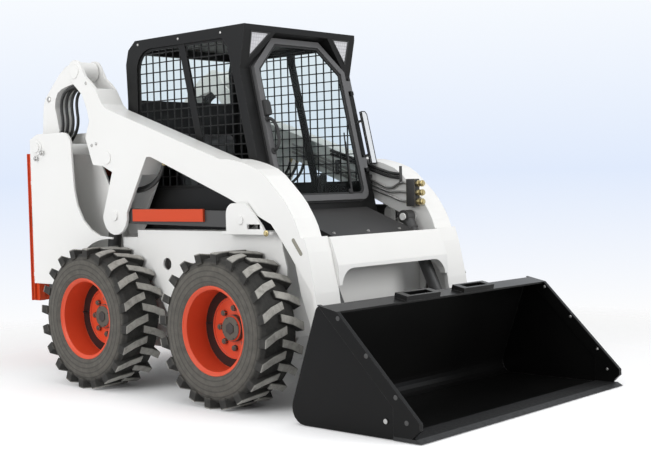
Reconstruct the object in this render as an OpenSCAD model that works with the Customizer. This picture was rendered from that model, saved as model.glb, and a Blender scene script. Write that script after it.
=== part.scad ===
// Skid steer loader with vertical lift arms, dirt bucket and closed cab.
// Frame: X forward, Y to the machine's left, Z up, millimetres, ground at Z 0.
// Profiles are drawn in side view from the front axle and shifted to the centre.

/* [Wheels] */
// distance between the axles
wheelbase = 1036; // [900:1:1200]
// tyre diameter over the lugs
tyre_d = 774; // [700:1:860]
// tyre section width
tyre_w = 264; // [220:1:300]
// distance between the tyres' middle planes
track = 1412; // [1392:1:1600]
// rim seat radius
rim_r = 212; // [190:1:230]
// lugs in one row of a tyre
lug_n = 20; // [14:1:24]
// lug height above the casing
lug_h = 24; // [12:1:32]
// spindle radius
spindle_r = 40; // [30:1:50]

/* [Bucket] */
// bucket width
bucket_w = 1727; // [1500:1:2000]
// bucket plate thickness
bucket_t = 10; // [6:1:16]
// bucket height over its back
bucket_h = 560; // [480:1:620]
// reach of the cutting edge ahead of the front axle
bucket_x = 1312; // [1240:1:1400]

/* [Lift arms] */
// inner face of an arm from the middle plane
arm_in = 460; // [450:1:480]
// outer face of an arm from the middle plane
arm_out = 612; // [602:1:616]
// thickness of an arm's side plates
arm_plate = 16; // [10:1:18]
// radius of the large pivot pins
pin_r = 30; // [22:1:36]

/* [Cab] */
// outside width of the cab
cab_w = 870; // [800:1:880]
// height of the roof
cab_top = 1935; // [1880:1:2000]
// wall and post depth of the cab
cab_t = 30; // [20:1:36]
// width of the door opening
door_w = 730; // [640:1:740]

// spacing of the side screens' wires along the cab
mesh_x = 58; // [50:1:80]
// spacing of the side screens' wires up the cab
mesh_z = 53; // [45:1:80]
// width of one wire
wire = 6; // [4:1:10]

/* [Frame] */
// outside width over the frame's side plates
frame_w = 1120; // [1090:1:1130]
// outside width over the uprights
upright_w = 1280; // [1270:1:1320]
// plate thickness of the uprights and the frame
plate = 12; // [8:1:14]
// height of the belly plate above the ground
clearance = 205; // [180:1:230]
// top of the fender rail
rail_z = 865; // [850:1:870]
// rear face of the tailgate behind the front axle
tail_x = 1830; // [1810:1:1880]

// radius of the tie down holes
tie_r = 20; // [14:1:26]

/* [Hydraulics] */
// lift cylinder barrel radius
lift_r = 38; // [32:1:40]
// tilt cylinder barrel radius
tilt_r = 34; // [28:1:38]

/* [Hidden] */
$fn = 48;
// running clearance of a pin in its bore
fit = 0.05;
// gap between pieces that move past each other
gap = 6;
r_tyre = tyre_d / 2;
axle_z = r_tyre;
x_mid = (tail_x - bucket_x) / 2;
y_cab = cab_w / 2;
// arms, legs, tyres, frame and uprights stay clear of one another, going outward
y_in = max(arm_in, y_cab + 25);
y_out = y_in + arm_out - arm_in;
leg_out = y_in + 95;
y_tyre = max(track / 2, leg_out + 19 + tyre_w / 2);
y_frame = max(frame_w / 2, y_out - 52);
y_up = max(upright_w / 2, y_out + 28);
y_up_in = y_in - 10;
// rear faces of the uprights, ahead of the tailgate
up_rear = 55 - tail_x;
// pivots of the lift linkage in side view
A0 = [up_rear + 75, 1350];
A1 = [-1345, 1775];
B1 = [-1013, 945];
B0 = [20, 925];
link_r = 56;
C0 = [-wheelbase - 154, 450];
C1 = [-1068, 1270];
H = [508, 176];
T0 = [262, 905];
tilt_crank = 130;
T1 = H + tilt_crank * [cos(70), sin(70)];
// lateral stations inside an arm
y_lift = y_in + arm_plate + gap + lift_r + 1;
y_link0 = y_out - arm_plate - gap - 22;
y_link1 = y_out - arm_plate - gap;
ear_t = 12;
y_tilt = y_in - 2 * gap - ear_t - tilt_r;
// front face of the cab: a slanted plane through two points
door_low = [12, 985];
door_lean = 13.4;
// top of the door opening along the slanted front
door_v = (cab_top - 52 - door_low[1]) / cos(door_lean);
// the door leaves a post on both sides, and its upper corners are cut
door_y = min(door_w, cab_w - 140);
door_cut = 178;

// moves the side view's origin from the front axle to the middle of the machine
module placed() {
  translate([x_mid, 0, 0])
    children();
}

// extrudes a side view profile from y0 to y1
module side(y0, y1) {
  translate([0, y1, 0])
    rotate([90, 0, 0])
      linear_extrude(height = y1 - y0)
        children();
}

// the children on the left side and mirrored on the right
module both() {
  children();
  mirror([0, 1, 0])
    children();
}

// a round bar across the machine at a side view point
module bar(p, r, y0, y1) {
  translate([p[0], y1, p[1]])
    rotate([90, 0, 0])
      cylinder(r = r, h = y1 - y0);
}

// points along an arc
function arc(c, r, a0, a1, n) =
  [for (i = [0:n]) c + r * [cos(a0 + (a1 - a0) * i / n), sin(a0 + (a1 - a0) * i / n)]];

function unit(v) = v / norm(v);
function turn(v) = [v[1], -v[0]];
// crossing of two lines, each given by a point and a direction
function cross2(a, b) = a[0] * b[1] - a[1] * b[0];
function meet(p, u, q, v) = p + u * cross2(q - p, v) / cross2(u, v);
// a closed outline moved inward by d, for outlines drawn counterclockwise
function inset(p, d) = [for (i = [0:len(p) - 1])
  let (a = p[(i + len(p) - 1) % len(p)], b = p[i], c = p[(i + 1) % len(p)],
    u = unit(b - a), v = unit(c - b))
  meet(b - d * turn(u), u, b - d * turn(v), v)];

// points that round the corner p between a and b
function fillet(a, p, b, r, n = 6) =
  let (u = unit(a - p), v = unit(b - p), h = acos(u * v) / 2,
    c = p + unit(u + v) * r / sin(h), s = p + u * r / tan(h) - c, e = p + v * r / tan(h) - c,
    a0 = atan2(s[1], s[0]), t = atan2(e[1], e[0]) - a0,
    w = t > 180 ? t - 360 : t < -180 ? t + 360 : t)
  arc(c, r, a0, a0 + w, n);
// the corner p moved to the inside by d, square to both edges
function within(a, p, b, d) =
  let (u = unit(a - p), v = unit(b - p))
  p + d * (u + v) / abs(cross2(u, v));

// a bar with round ends between two side view points
module link_2d(p, q, r) {
  u = unit(q - p);
  n = turn(u);
  polygon([p + r * n, q + r * n, q - r * n, p - r * n]);
  translate(p)
    circle(r = r);
  translate(q)
    circle(r = r);
}

// WHEELS

module rim_shape() {
  b = tyre_w / 2 - 32;
  f = rim_r + 12;
  rotate([-90, 0, 0])
    difference() {
      union() {
        rotate_extrude($fn = 64)
          polygon([[f, b + 16], [f, b + 8], [rim_r, b], [rim_r, -b], [f, -b - 8],
            [f, -b - 16], [f - 10, -b - 16], [rim_r - 9, -b - 6], [rim_r - 9, -40],
            [150, -52], [60, -52], [60, -84], [spindle_r + fit, -84], [spindle_r + fit, -4],
            [58, -4], [66, -14], [66, -40], [146, -40], [rim_r - 9, -26],
            [rim_r - 9, b + 6], [f - 10, b + 16]]);
        for (i = [0:7])
          rotate([0, 0, i * 45])
            translate([101, 0, -41])
              cylinder(r = 15, h = 19, $fn = 6);
      }
    }
}

// one lug: a bent bar that runs from past the middle out over the shoulder
module lug() {
  w = tyre_w / 2;
  translate([0, 0, r_tyre - lug_h - 32])
    linear_extrude(height = lug_h + 40)
      polygon([[-36, -14], [2, -14], [24, w * 0.46], [58, w - 1], [16, w - 1], [-14, w * 0.5]]);
}

module tyre_shape() {
  b = tyre_w / 2 - 32;
  w = tyre_w / 2;
  c = r_tyre - lug_h;
  f = rim_r + 12;
  intersection() {
    union() {
      rotate([-90, 0, 0])
        rotate_extrude($fn = 64)
          polygon([[rim_r, -b], [f, -b - 8], [f, -b - 17], [f + 14, -w + 5], [f + 48, -w],
            [f + 88, -w + 2], [c - 24, -w + 12], [c - 5, -w + 32], [c, -30],
            [c, 30], [c - 5, w - 32], [c - 24, w - 12], [f + 88, w - 2],
            [f + 48, w], [f + 14, w - 5], [f, b + 17], [f, b + 8], [rim_r, b]]);
      for (i = [0:lug_n - 1]) {
        rotate([0, 180 + i * 360 / lug_n, 0])
          lug();
        rotate([0, 180 + (i + 0.5) * 360 / lug_n, 0])
          mirror([0, 1, 0])
            lug();
      }
    }
    rotate([90, 0, 0])
      cylinder(r = r_tyre, h = tyre_w + 2, center = true, $fn = 96);
  }
}

module wheel_at(x, s) {
  placed()
    translate([x, s * y_tyre, axle_z])
      mirror([0, s < 0 ? 1 : 0, 0])
        children();
}

module rim_fl() color([0.85, 0.25, 0.08]) wheel_at(0, 1) rim_shape();
module rim_fr() color([0.85, 0.25, 0.08]) wheel_at(0, -1) rim_shape();
module rim_rl() color([0.85, 0.25, 0.08]) wheel_at(-wheelbase, 1) rim_shape();
module rim_rr() color([0.85, 0.25, 0.08]) wheel_at(-wheelbase, -1) rim_shape();
module tyre_fl() color([0.1, 0.1, 0.1]) wheel_at(0, 1) tyre_shape();
module tyre_fr() color([0.1, 0.1, 0.1]) wheel_at(0, -1) tyre_shape();
module tyre_rl() color([0.1, 0.1, 0.1]) wheel_at(-wheelbase, 1) tyre_shape();
module tyre_rr() color([0.1, 0.1, 0.1]) wheel_at(-wheelbase, -1) tyre_shape();

// axle housings with a spindle for each wheel
module axles() color([0.12, 0.12, 0.13]) placed()
  both()
    for (x = [0, -wheelbase]) {
      bar([x, axle_z], 70, case_y, y_tyre - 84 - gap);
      bar([x, axle_z], flange_r, y_frame - plate - 20, y_frame + 8);
      bar([x, axle_z], spindle_r, y_tyre - 84 - gap, y_tyre - 2);
    }

// FRAME

case_y = y_in - 10;
case_in = case_y - 130;
case_top = 560;
case_rear = up_rear + 135;
front_x = 230;
flange_r = 92;
deck_z = rail_z - 40;

// side plate between the wheels, with a pin hole and a cut rear end
module side_plate_2d() {
  difference() {
    polygon([[-880, rail_z], [front_x, rail_z], [front_x + 12, 776], [front_x + 36, 693],
      [front_x + 36, 430], [front_x - 50, 300], [-560, 300], [-787, 606], [-880, 675]]);
    translate([-636, 682])
      circle(r = 33);
    translate([0, axle_z])
      circle(r = flange_r + 2);
  }
}

// chain cases on both sides, tied by the belly plate and two cross plates
module main_frame() color([0.9, 0.9, 0.88]) placed() {
  both()
    side(case_in, case_y)
      polygon([[case_rear, clearance], [150, clearance], [front_x, 330],
        [front_x, case_top], [case_rear, case_top]]);
  translate([case_rear, -case_in, clearance])
    cube([150 - case_rear, 2 * case_in, plate]);
  translate([front_x - plate, plate - y_frame, 330])
    cube([plate, 2 * (y_frame - plate), rail_z - 330]);
  // rear cross plate below the tailgate
  translate([case_rear, -case_in, clearance])
    cube([plate, 2 * case_in, case_top - clearance]);
}

module side_plates() color([0.9, 0.9, 0.88]) placed()
  both()
    side(y_frame - plate, y_frame)
      side_plate_2d();

// inner wall from the chain case up to the rail, the rail and its rear step
module fender_rails() color([0.9, 0.9, 0.88]) placed()
  both() {
    translate([-1110, case_y - plate, case_top])
      cube([front_x - plate + 1110, plate, rail_z - case_top]);
    translate([-880, case_y - 1, rail_z - plate])
      cube([front_x - plate + 880, y_frame - plate - case_y + 1, plate]);
    translate([-892, case_y - 1, deck_z - plate])
      cube([2 * plate, y_frame - plate - case_y + 1, rail_z - deck_z + plate]);
  }

// lower deck over the gap between the wheels' tops, with a short outer skirt
module rear_decks() color([0.9, 0.9, 0.88]) placed()
  both() {
    translate([-1010, case_y, deck_z - plate])
      cube([118, y_frame - case_y, plate]);
    side(y_frame - plate, y_frame)
      polygon([[-1010, 690], [-900, 690], [-880, 675], [-880, deck_z], [-1010, deck_z]]);
  }

// lower pins of the lift cylinders, on the chain cases
module lift_pins() color([0.9, 0.9, 0.88]) placed()
  both()
    bar(C0, 24, case_y, y_lift + lift_r + 4);

// outer cheek of an upright: rounded top, swept front edge and wheel arch
module cheek_2d() {
  difference() {
    polygon(concat([[up_rear, 540], [up_rear + 335, 540], [-1118, 780], [-1010, 780], [-1010, deck_z],
      [-1118, deck_z + 7], [-1200, 865], [-1272, 922], [-1325, 1008], [-1348, 1094],
      [-1360, 1239], [-1365, 1308]],
      arc([-1445, 1350], 80, 0, 90, 6), [[up_rear + 77, 1430], [up_rear, 1400]]));
    translate([-wheelbase, axle_z])
      circle(r = r_tyre + 42);
  }
}

module upright() {
  // outer and inner cheeks with the rear wall between them
  side(y_up - plate, y_up)
    cheek_2d();
  side(y_up_in - plate, y_up_in)
    polygon([[up_rear, case_top], [-1110, case_top], [-1110, rail_z], [-1200, 1000],
      [-1340, 1250], [-1365, 1370], [-1445, 1430], [up_rear + 77, 1430], [up_rear, 1400]]);
  translate([up_rear, y_up_in, 540])
    cube([plate, y_up - y_up_in, 700]);
  translate([up_rear, y_up_in, 540])
    cube([335, y_up - y_up_in, plate]);
  translate([up_rear, y_up_in - plate, 540])
    cube([-up_rear + case_rear, plate, 40]);
  // pin of the rear link
  bar(A0, pin_r, y_up_in - plate, y_up + 14);
  bar(A0, 46, y_up - 2, y_up + 6);
  // tube between the cheeks behind the cab
  bar([-1405, 1330], 33, y_up_in - 2, y_up - 2);
}

// pins on the right upright that carry the tailgate
gate_gap = 10;
gate_w = y_up - 40;
gate_x = up_rear - 20;
gate_y = y_up - 24;
gate_z = [580, 1130];

module gate_pins() {
  for (z = gate_z) {
    translate([gate_x, -gate_y - 11, z])
      cube([up_rear - gate_x, 22, 24]);
    translate([gate_x, -gate_y, z]) {
      cylinder(r = 11, h = 24);
      cylinder(r = 8, h = 90);
    }
  }
}

module upright_left() color([0.9, 0.9, 0.88]) placed() upright();
module upright_right() color([0.9, 0.9, 0.88]) placed() {
  mirror([0, 1, 0])
    upright();
  gate_pins();
}

// brackets that carry the front pins of the lower links
module link_brackets() color([0.9, 0.9, 0.88]) placed()
  both() {
    side(y_out + gap, y_out + gap + 14)
      difference() {
        polygon(concat([[190, rail_z], [168, 900], [60, 1010]], arc([-30, 955], 55, 90, 180, 6),
          [[-85, rail_z]]));
        translate([66, 880])
          square([92, 24]);
      }
    translate([-120, y_frame, rail_z - plate])
      cube([350, y_out + gap + 14 - y_frame, plate + 4]);
    side(y_frame - plate, y_frame)
      union() {
        translate(B0)
          circle(r = 36);
        translate([B0[0] - 36, rail_z])
          square([72, B0[1] - rail_z]);
      }
    bar(B0, pin_r - 8, y_frame - plate - 4, y_out + gap + 20);
  }

// ENGINE BAY

module engine_block() color([0.2, 0.2, 0.2]) placed()
  translate([up_rear + 175, -y_in + 180, clearance + plate])
    cube([440, 2 * y_in - 360, 900]);

// louvred hood between the cab and the tailgate
module engine_hood() color([0.12, 0.12, 0.13]) placed()
  difference() {
    side(-y_up_in + plate, y_up_in - plate)
      polygon([[up_rear, 1290], [up_rear + 35, 1290], [-1130, 1370], [-1118, 1370], [-1118, 1420],
        [-1160, 1420], [up_rear + 35, 1345], [up_rear, 1330]]);
    for (i = [0:7])
      translate([up_rear + 85 + i * 62, -y_in + 160, 1200])
        cube([34, 2 * y_in - 320, 300]);
  }

module rear_door() color([0.85, 0.25, 0.08]) placed() {
  difference() {
    union() {
      translate([-tail_x, -gate_w, 430])
        cube([35, 2 * gate_w, 890]);
      translate([-tail_x + 35, -gate_w, 430])
        cube([tail_x - 35 + up_rear - gate_gap, 40, 890]);
    }
    for (i = [0:7])
      translate([-tail_x - 1, -gate_w + 270, 700 + i * 62])
        cube([50, 2 * gate_w - 540, 34]);
  }
  for (z = gate_z)
    difference() {
      union() {
        translate([gate_x, -gate_y, z + 24.3])
          cylinder(r = 14, h = 60);
        translate([gate_x - 14, -gate_y, z + 24.3])
          cube([12, gate_y - gate_w + 10, 60]);
      }
      translate([gate_x, -gate_y, z])
        cylinder(r = 8 + fit, h = 120);
    }
}

module tail_lamps() color([0.7, 0.08, 0.06]) placed()
  both()
    translate([up_rear - 8, y_up - 34, 880])
      cube([8, 28, 120]);

// CAB

cab_low = rail_z;
// front edge of the cab's side at a height, and the knee below the roof's overhang
function front_at(z) = door_low[0] - tan(door_lean) * (z - door_low[1]);
knee = [front_at(cab_top - 230), cab_top - 230];
cab_front_top = [front_at(cab_top - 45) + 86.6, cab_top];
brow = [cab_front_top[0], cab_top - 28];
brow_lean = atan2(brow[0] - knee[0], brow[1] - knee[1]);
brow_len = norm(brow - knee);
// closed side outlines of the cab, drawn counterclockwise
cab_rear = [[-1010, cab_top - 6], [-1072, cab_top - 55], [-1095, cab_top - 135],
  [-1087, cab_top - 333], [-1100, cab_low]];
cab_core = concat([[30, cab_low], [30, 910], door_low,
  [front_at(cab_top), cab_top]], cab_rear);
cab_side = concat([[30, cab_low], [30, 910], door_low, knee, brow, cab_front_top], cab_rear);

// places a front view drawing, y across and v up the slanted front, x outward
module on_front() {
  translate([door_low[0], 0, door_low[1]])
    rotate([0, -door_lean, 0])
      rotate([90, 0, 90])
        children();
}

// the same on the lamp faces, which lean forward from the knee to the brow
module on_brow() {
  translate([knee[0], 0, knee[1]])
    rotate([0, brow_lean, 0])
      rotate([90, 0, 90])
        children();
}

// six sided opening with cut upper and round lower corners
function opening(w, v0, v1, cut, r) = concat(
  fillet([-w / 2, v1], [-w / 2, v0], [w / 2, v0], r),
  fillet([-w / 2, v0], [w / 2, v0], [w / 2, v1], r),
  [[w / 2, v1 - cut * 0.95], [w / 2 - cut, v1], [-w / 2 + cut, v1], [-w / 2, v1 - cut * 0.95]]);

// three sided lens face, moved inward by d
function lamp(d) = inset([[y_cab - 52, 57], [y_cab - 47, brow_len - 6],
  [y_cab - 196, brow_len - 6]], d);

// side window outline with a round upper rear corner
win_top = cab_top - 60;
win_low = 1090;
function side_win(d) = inset(concat([[front_at(win_low) - 57, win_low],
  [front_at(win_top - 45) - 57, win_top - 45], [front_at(win_top) - 90, win_top]],
  arc([-880, win_top - 120], 120, 90, 180, 6), [[-1000, win_low]]), d);

module cab_shell() color([0.1, 0.1, 0.1]) placed() {
  difference() {
    side(-y_cab, y_cab)
      polygon(cab_side);
    side(-y_cab + cab_t, y_cab - cab_t)
      polygon(inset(cab_core, cab_t));
    // open underside
    translate([-1060, -y_cab + cab_t, cab_low - 1])
      cube([1060, cab_w - 2 * cab_t, 60]);
    // side windows
    side(-y_cab - 1, y_cab + 1)
      polygon(side_win(0));
    // door opening
    on_front()
      translate([0, 0, -120])
        linear_extrude(height = 240)
          polygon(opening(door_y, 6, door_v, door_cut, 60));
    // wider ahead of the door, where it swings out under the overhang
    on_front()
      translate([0, 0, 4])
        linear_extrude(height = 150)
          polygon(opening(door_y + 24, 6, door_v, door_cut - 5, 72));
    // pockets of the lamps
    both()
      on_brow()
        translate([0, 0, -10])
          linear_extrude(height = 20)
            polygon(lamp(0));
    // rear window
    translate([-1200, -y_cab + 70, cab_top - 335])
      cube([200, cab_w - 140, 260]);
  }
  door_pins();
}

module screen() {
  // sloping bar between the two panes
  side(y_cab - 20, y_cab - 6)
    intersection() {
      polygon(side_win(0));
      polygon([[front_at(win_low) - 444, win_low], [front_at(win_low) - 396, win_low],
        [front_at(win_top) - 396, win_top], [front_at(win_top) - 444, win_top]]);
    }
  // wire mesh in a flat frame inside the window
  side(y_cab - 16, y_cab - 10)
    difference() {
      polygon(side_win(0));
      intersection() {
        polygon(side_win(14));
        union()
          for (i = [0:15])
            for (j = [0:ceil((win_top - win_low) / mesh_z)])
              translate([-984 + i * mesh_x, win_low + 16 + j * mesh_z])
                square([mesh_x - wire, mesh_z - wire]);
      }
    }
}

module side_screen_left() color([0.15, 0.15, 0.15]) placed() screen();
module side_screen_right() color([0.15, 0.15, 0.15]) placed() mirror([0, 1, 0]) screen();

module rear_window() color([0.5, 0.6, 0.65, 0.5]) placed()
  translate([-1072, -y_cab + 70, cab_top - 335])
    cube([6, cab_w - 140, 260]);

module cab_floor() color([0.12, 0.12, 0.13]) placed() {
  translate([-1050, -case_y + plate, case_top])
    cube([1050 + front_x - plate, 2 * (case_y - plate), plate]);
}

module seat() color([0.08, 0.08, 0.08]) placed() {
  translate([-960, -240, case_top + plate])
    cube([460, 480, 320]);
  side(-245, 245)
    polygon([[-965, 892], [-470, 892], [-440, 925], [-450, 985], [-500, 1010], [-830, 985],
      [-880, 1400], [-915, 1440], [-985, 1440], [-1000, 1400], [-950, 985]]);
}

module control_levers() color([0.1, 0.1, 0.1]) placed()
  both() {
    translate([-420, y_cab - 165, case_top + plate])
      cube([150, 110, 330]);
    translate([-330, y_cab - 115, case_top + plate + 330])
      rotate([0, 12, 0]) {
        cylinder(r = 12, h = 170);
        translate([0, 0, 150])
          cylinder(r = 24, h = 110);
      }
  }

// lamp set into each upper front corner, with a three sided lens
module headlamps() color([0.95, 0.95, 0.9]) placed()
  both()
    on_brow()
      translate([0, 0, -10])
        linear_extrude(height = 8)
          polygon(lamp(1));

// step plate in front of the cab
module front_step() color([0.12, 0.12, 0.13]) placed() {
  side(-335, 335)
    polygon([[30, 940], [30, 962], [395, 826], [404, 818], [404, 790], [394, 790], [392, 815],
      [40, 946]]);
  for (y = [-335, -6, 325])
    side(y, y + 10)
      polygon([[30, rail_z], [30, 950], [350, 832], [front_x, 790], [front_x, rail_z]]);
}

module rear_mirror() color([0.8, 0.8, 0.8]) placed()
  on_front() {
    translate([0, 0, 44])
      linear_extrude(height = 10)
        polygon([[y_cab - 24, 215], [y_cab + 16, 215], [y_cab + 16, 500], [y_cab + 4, 515],
          [y_cab - 24, 515]]);
    for (v = [260, 460])
      translate([y_cab - 20, v, 0])
        cube([14, 14, 44]);
  }

module tie_downs() color([0.12, 0.12, 0.13]) placed()
  both()
    difference() {
      translate([up_rear + 55, y_up - 84, 450])
        cube([100, 20, 90]);
      bar([up_rear + 105, 492], tie_r, y_up - 140, y_up - 40);
    }

// DOOR

hinge_y = door_y / 2 + 22;
hinge_out = 22;
hinge_v = [170, door_v - 305];

// two pins on the cab's left front post
module door_pins()
  on_front()
    for (v = hinge_v) {
      translate([hinge_y - 12, v, -8])
        cube([24, 22, hinge_out + 20]);
      translate([hinge_y, v + 10, hinge_out])
        rotate([-90, 0, 0])
          cylinder(r = 7, h = 90);
    }

module cab_door() color([0.2, 0.2, 0.22]) placed()
  on_front() {
    translate([0, 0, 6])
      linear_extrude(height = 26)
        difference() {
          polygon(opening(door_y - 16, 14, door_v - 8, door_cut - 5, 52));
          polygon(opening(door_y - 80, 46, door_v - 40, door_cut - 23, 36));
        }
    for (v = hinge_v)
      difference() {
        union() {
          translate([hinge_y, v + 22.3, hinge_out])
            rotate([-90, 0, 0])
              cylinder(r = 12, h = 60);
          translate([door_y / 2 - 20, v + 22.3, hinge_out])
            cube([hinge_y - door_y / 2 + 20, 60, 10]);
        }
        translate([hinge_y, v, hinge_out])
          rotate([-90, 0, 0])
            cylinder(r = 7 + fit, h = 120);
      }
  }

module door_glass() color([0.5, 0.6, 0.65, 0.4]) placed()
  on_front()
    translate([0, 0, 14])
      linear_extrude(height = 6)
        polygon(opening(door_y - 80, 46, door_v - 40, door_cut - 23, 36));

module wiper() color([0.05, 0.05, 0.05]) placed()
  on_front()
    translate([0, 0, 32])
      linear_extrude(height = 8)
        polygon([[200, 48], [222, 48], [222, 70], [262, 400], [252, 402], [200, 70]]);

// LIFT ARMS

lip_w = 17;
hinge_r = 25;
tilt_pin = 20;

// upper front edge from the beam over the knee and down the front leg
arm_front = [[-144, 1236], [-63, 1231], [0, 1218], [60, 1202], [128, 1177], [180, 1143],
  [235, 1092], [290, 1040], [325, 1000], [370, 932], [392, 890], [412, 835], [436, 764],
  [480, 570]];
// rear end, arched top edge
arm_top = [[-1245, 1736], [-1193, 1698], [-1156, 1662], [-1127, 1618], [-1099, 1573],
  [-1063, 1545]];

module arm_2d() {
  polygon(concat(
    arm_top, arm_front,
    [[316, 785], [300, 805], [215, 905], [-86, 1036], [-568, 1219], [-690, 1264]],
    [[-725, 1264], [-904, 966]],
    arc(B1, 108, 10, -160, 8),
    [[-1122, 938], [-1026, 1190], [-1110, 1225], [-1199, 1234], [-1224, 1292],
      [-1262, 1390], [-1222, 1485], [-1238, 1548], [-1280, 1636], [-1380, 1720]],
    arc(A1, 66, 215, 30, 8)));
}

// the front leg down to the bucket pin, narrower to clear the tyre
module leg_2d() {
  polygon(concat([[412, 835], [436, 764], [480, 570], [500, 440], [528, 320]],
    arc(H, 58, 20, -180, 8), [[405, 420], [352, 560], [300, 785]]));
}

module lift_arm() {
  w0 = y_in + arm_plate;
  w1 = y_out - arm_plate;
  difference() {
    side(y_in, y_out)
      arm_2d();
    // open pocket between the side plates for the links and the lift cylinder
    side(w0, w1)
      polygon([[-1460, 1900], [-1180, 1900], [-1160, 1660], [-1136, 1600], [-1128, 1500],
        [-960, 1330], [-780, 1200], [-820, 800], [-1300, 800], [-1320, 1300], [-1460, 1600]]);
  }
  difference() {
    side(y_in, leg_out)
      leg_2d();
    bar(H, hinge_r + fit, y_in - 5, leg_out + 5);
  }
  // front plate over the knee's lower end
  side(y_in - lip_w, y_out)
    polygon([[412, 835], [436, 764], [480, 570], [500, 440], [520, 440], [502, 575], [458, 770],
      [434, 842]]);
  // pins of the lower link and the tilt cylinder
  bar(B1, pin_r - 2, y_in + 2, y_out + 8);
  bar(T0, tilt_pin, y_tilt - tilt_r - 6, y_in + 2);
  // pin heads of the rear link and the lift cylinder
  bar(A1, 40, y_out - 2, y_out + 6);
  bar(C1, 36, y_out - 2, y_out + 6);
}

module lift_arm_left() color([0.9, 0.9, 0.88]) placed() lift_arm();
module lift_arm_right() color([0.9, 0.9, 0.88]) placed() mirror([0, 1, 0]) lift_arm();

// cross member with an arched opening between the front legs
module crossmember() color([0.9, 0.9, 0.88]) placed()
  difference() {
    side(-y_in + lip_w, y_in - lip_w)
      polygon([[416, 835], [450, 838], [500, 700], [505, 600], [470, 600], [440, 690], [416, 800]]);
    translate([300, 0, 0])
      rotate([90, 0, 90])
        linear_extrude(height = 300)
          polygon(concat([[-y_in + 40, 500], [y_in - 40, 500]],
            fillet([y_in - 40, 500], [y_in - 40, 680], [0, 680], 90),
            fillet([0, 680], [40 - y_in, 680], [40 - y_in, 500], 90)));
  }

module hydraulic_couplers() color([0.75, 0.62, 0.3]) placed() {
  translate([250, y_in - 44, 960])
    cube([60, 44, 150]);
  for (z = [985, 1035, 1085])
    translate([310, y_in - 26, z])
      rotate([0, 90, 0])
        cylinder(r = 12, h = 50);
}

// LINKS AND CYLINDERS

module lower_links() color([0.2, 0.2, 0.2]) placed()
  both()
    side(y_link0, y_link1)
      difference() {
        link_2d(B1, B0, 42);
        translate(B1)
          circle(r = pin_r - 2 + fit);
        translate(B0)
          circle(r = pin_r - 8 + fit);
      }

module lift_arm_support() color([0.85, 0.25, 0.08]) placed()
  both()
    side(y_link1, y_link1 + 14)
      polygon([[-866, 914], [-290, 914], [-290, 980], [-866, 980]]);

// curved plate from the upright's pin over to the rear end of an arm
module rear_link_2d() {
  translate(A0)
    circle(r = link_r);
  translate(A1)
    circle(r = link_r);
  polygon([A0 + [-link_r, 0], A0 + [-6, 97], A0 + [1, 186], A0 + [10, 255], A0 + [28, 290],
    A0 + [96, 353], A0 + [175, 421], A1 + [-120, 34], A1 + [-54, 53], A1 + [0, link_r],
    A1 + [0, -link_r], A1 + [-45, -68], A1 + [-102, -76], A0 + [195, 336], A0 + [152, 315],
    A0 + [128, 277], A0 + [122, 229], A0 + [143, 159], A0 + [160, 90], A0 + [link_r, 0]]);
}

module rear_links() color([0.9, 0.9, 0.88]) placed()
  both()
    side(y_in + arm_plate + gap, y_out - arm_plate - gap)
      difference() {
        rear_link_2d();
        translate(A0)
          circle(r = pin_r + fit);
        translate(A1)
          circle(r = pin_r);
      }

// turns a cylinder drawn along +Z into the line from p to q
module along(p, q, y) {
  d = q - p;
  translate([p[0], y, p[1]])
    rotate([0, 90 - atan2(d[1], d[0]), 0])
      children();
}

module barrel(len, r, eye, pin) {
  difference() {
    union() {
      translate([0, 0, eye * 0.7])
        cylinder(r = r, h = len - eye * 0.7);
      rotate([90, 0, 0])
        cylinder(r = eye, h = 2 * r - 4, center = true);
    }
    rotate([90, 0, 0])
      cylinder(r = pin + fit, h = 4 * r, center = true);
    translate([0, 0, eye + 8])
      cylinder(r = r * 0.55 + fit, h = len);
  }
}

module rod(len, r, start, eye, pin) {
  difference() {
    union() {
      translate([0, 0, start])
        cylinder(r = r, h = len - start - eye * 0.7);
      translate([0, 0, len])
        rotate([90, 0, 0])
          cylinder(r = eye, h = 2 * r + 10, center = true);
    }
    translate([0, 0, len])
      rotate([90, 0, 0])
        cylinder(r = pin + fit, h = 4 * r, center = true);
  }
}

lift_len = norm(C1 - C0);
tilt_len = norm(T1 - T0);

module lift_barrels() color([0.2, 0.2, 0.2]) placed()
  both()
    along(C0, C1, y_lift)
      barrel(lift_len - 60, lift_r, 40, 24);

module lift_rods() color([0.8, 0.8, 0.8]) placed()
  both()
    along(C0, C1, y_lift)
      rod(lift_len, lift_r * 0.55, 52, 40, 24);

module tilt_barrels() color([0.2, 0.2, 0.2]) placed()
  both()
    along(T0, T1, y_tilt)
      barrel(tilt_len - 90, tilt_r, 36, tilt_pin);

module tilt_rods() color([0.8, 0.8, 0.8]) placed()
  both()
    along(T0, T1, y_tilt)
      rod(tilt_len, tilt_r * 0.55, 108, 30, tilt_pin);

// BUCKET AND ITS COUPLER

heel = [548, 44];
back_top = [734, bucket_h];
back_dir = unit(back_top - heel);

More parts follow.
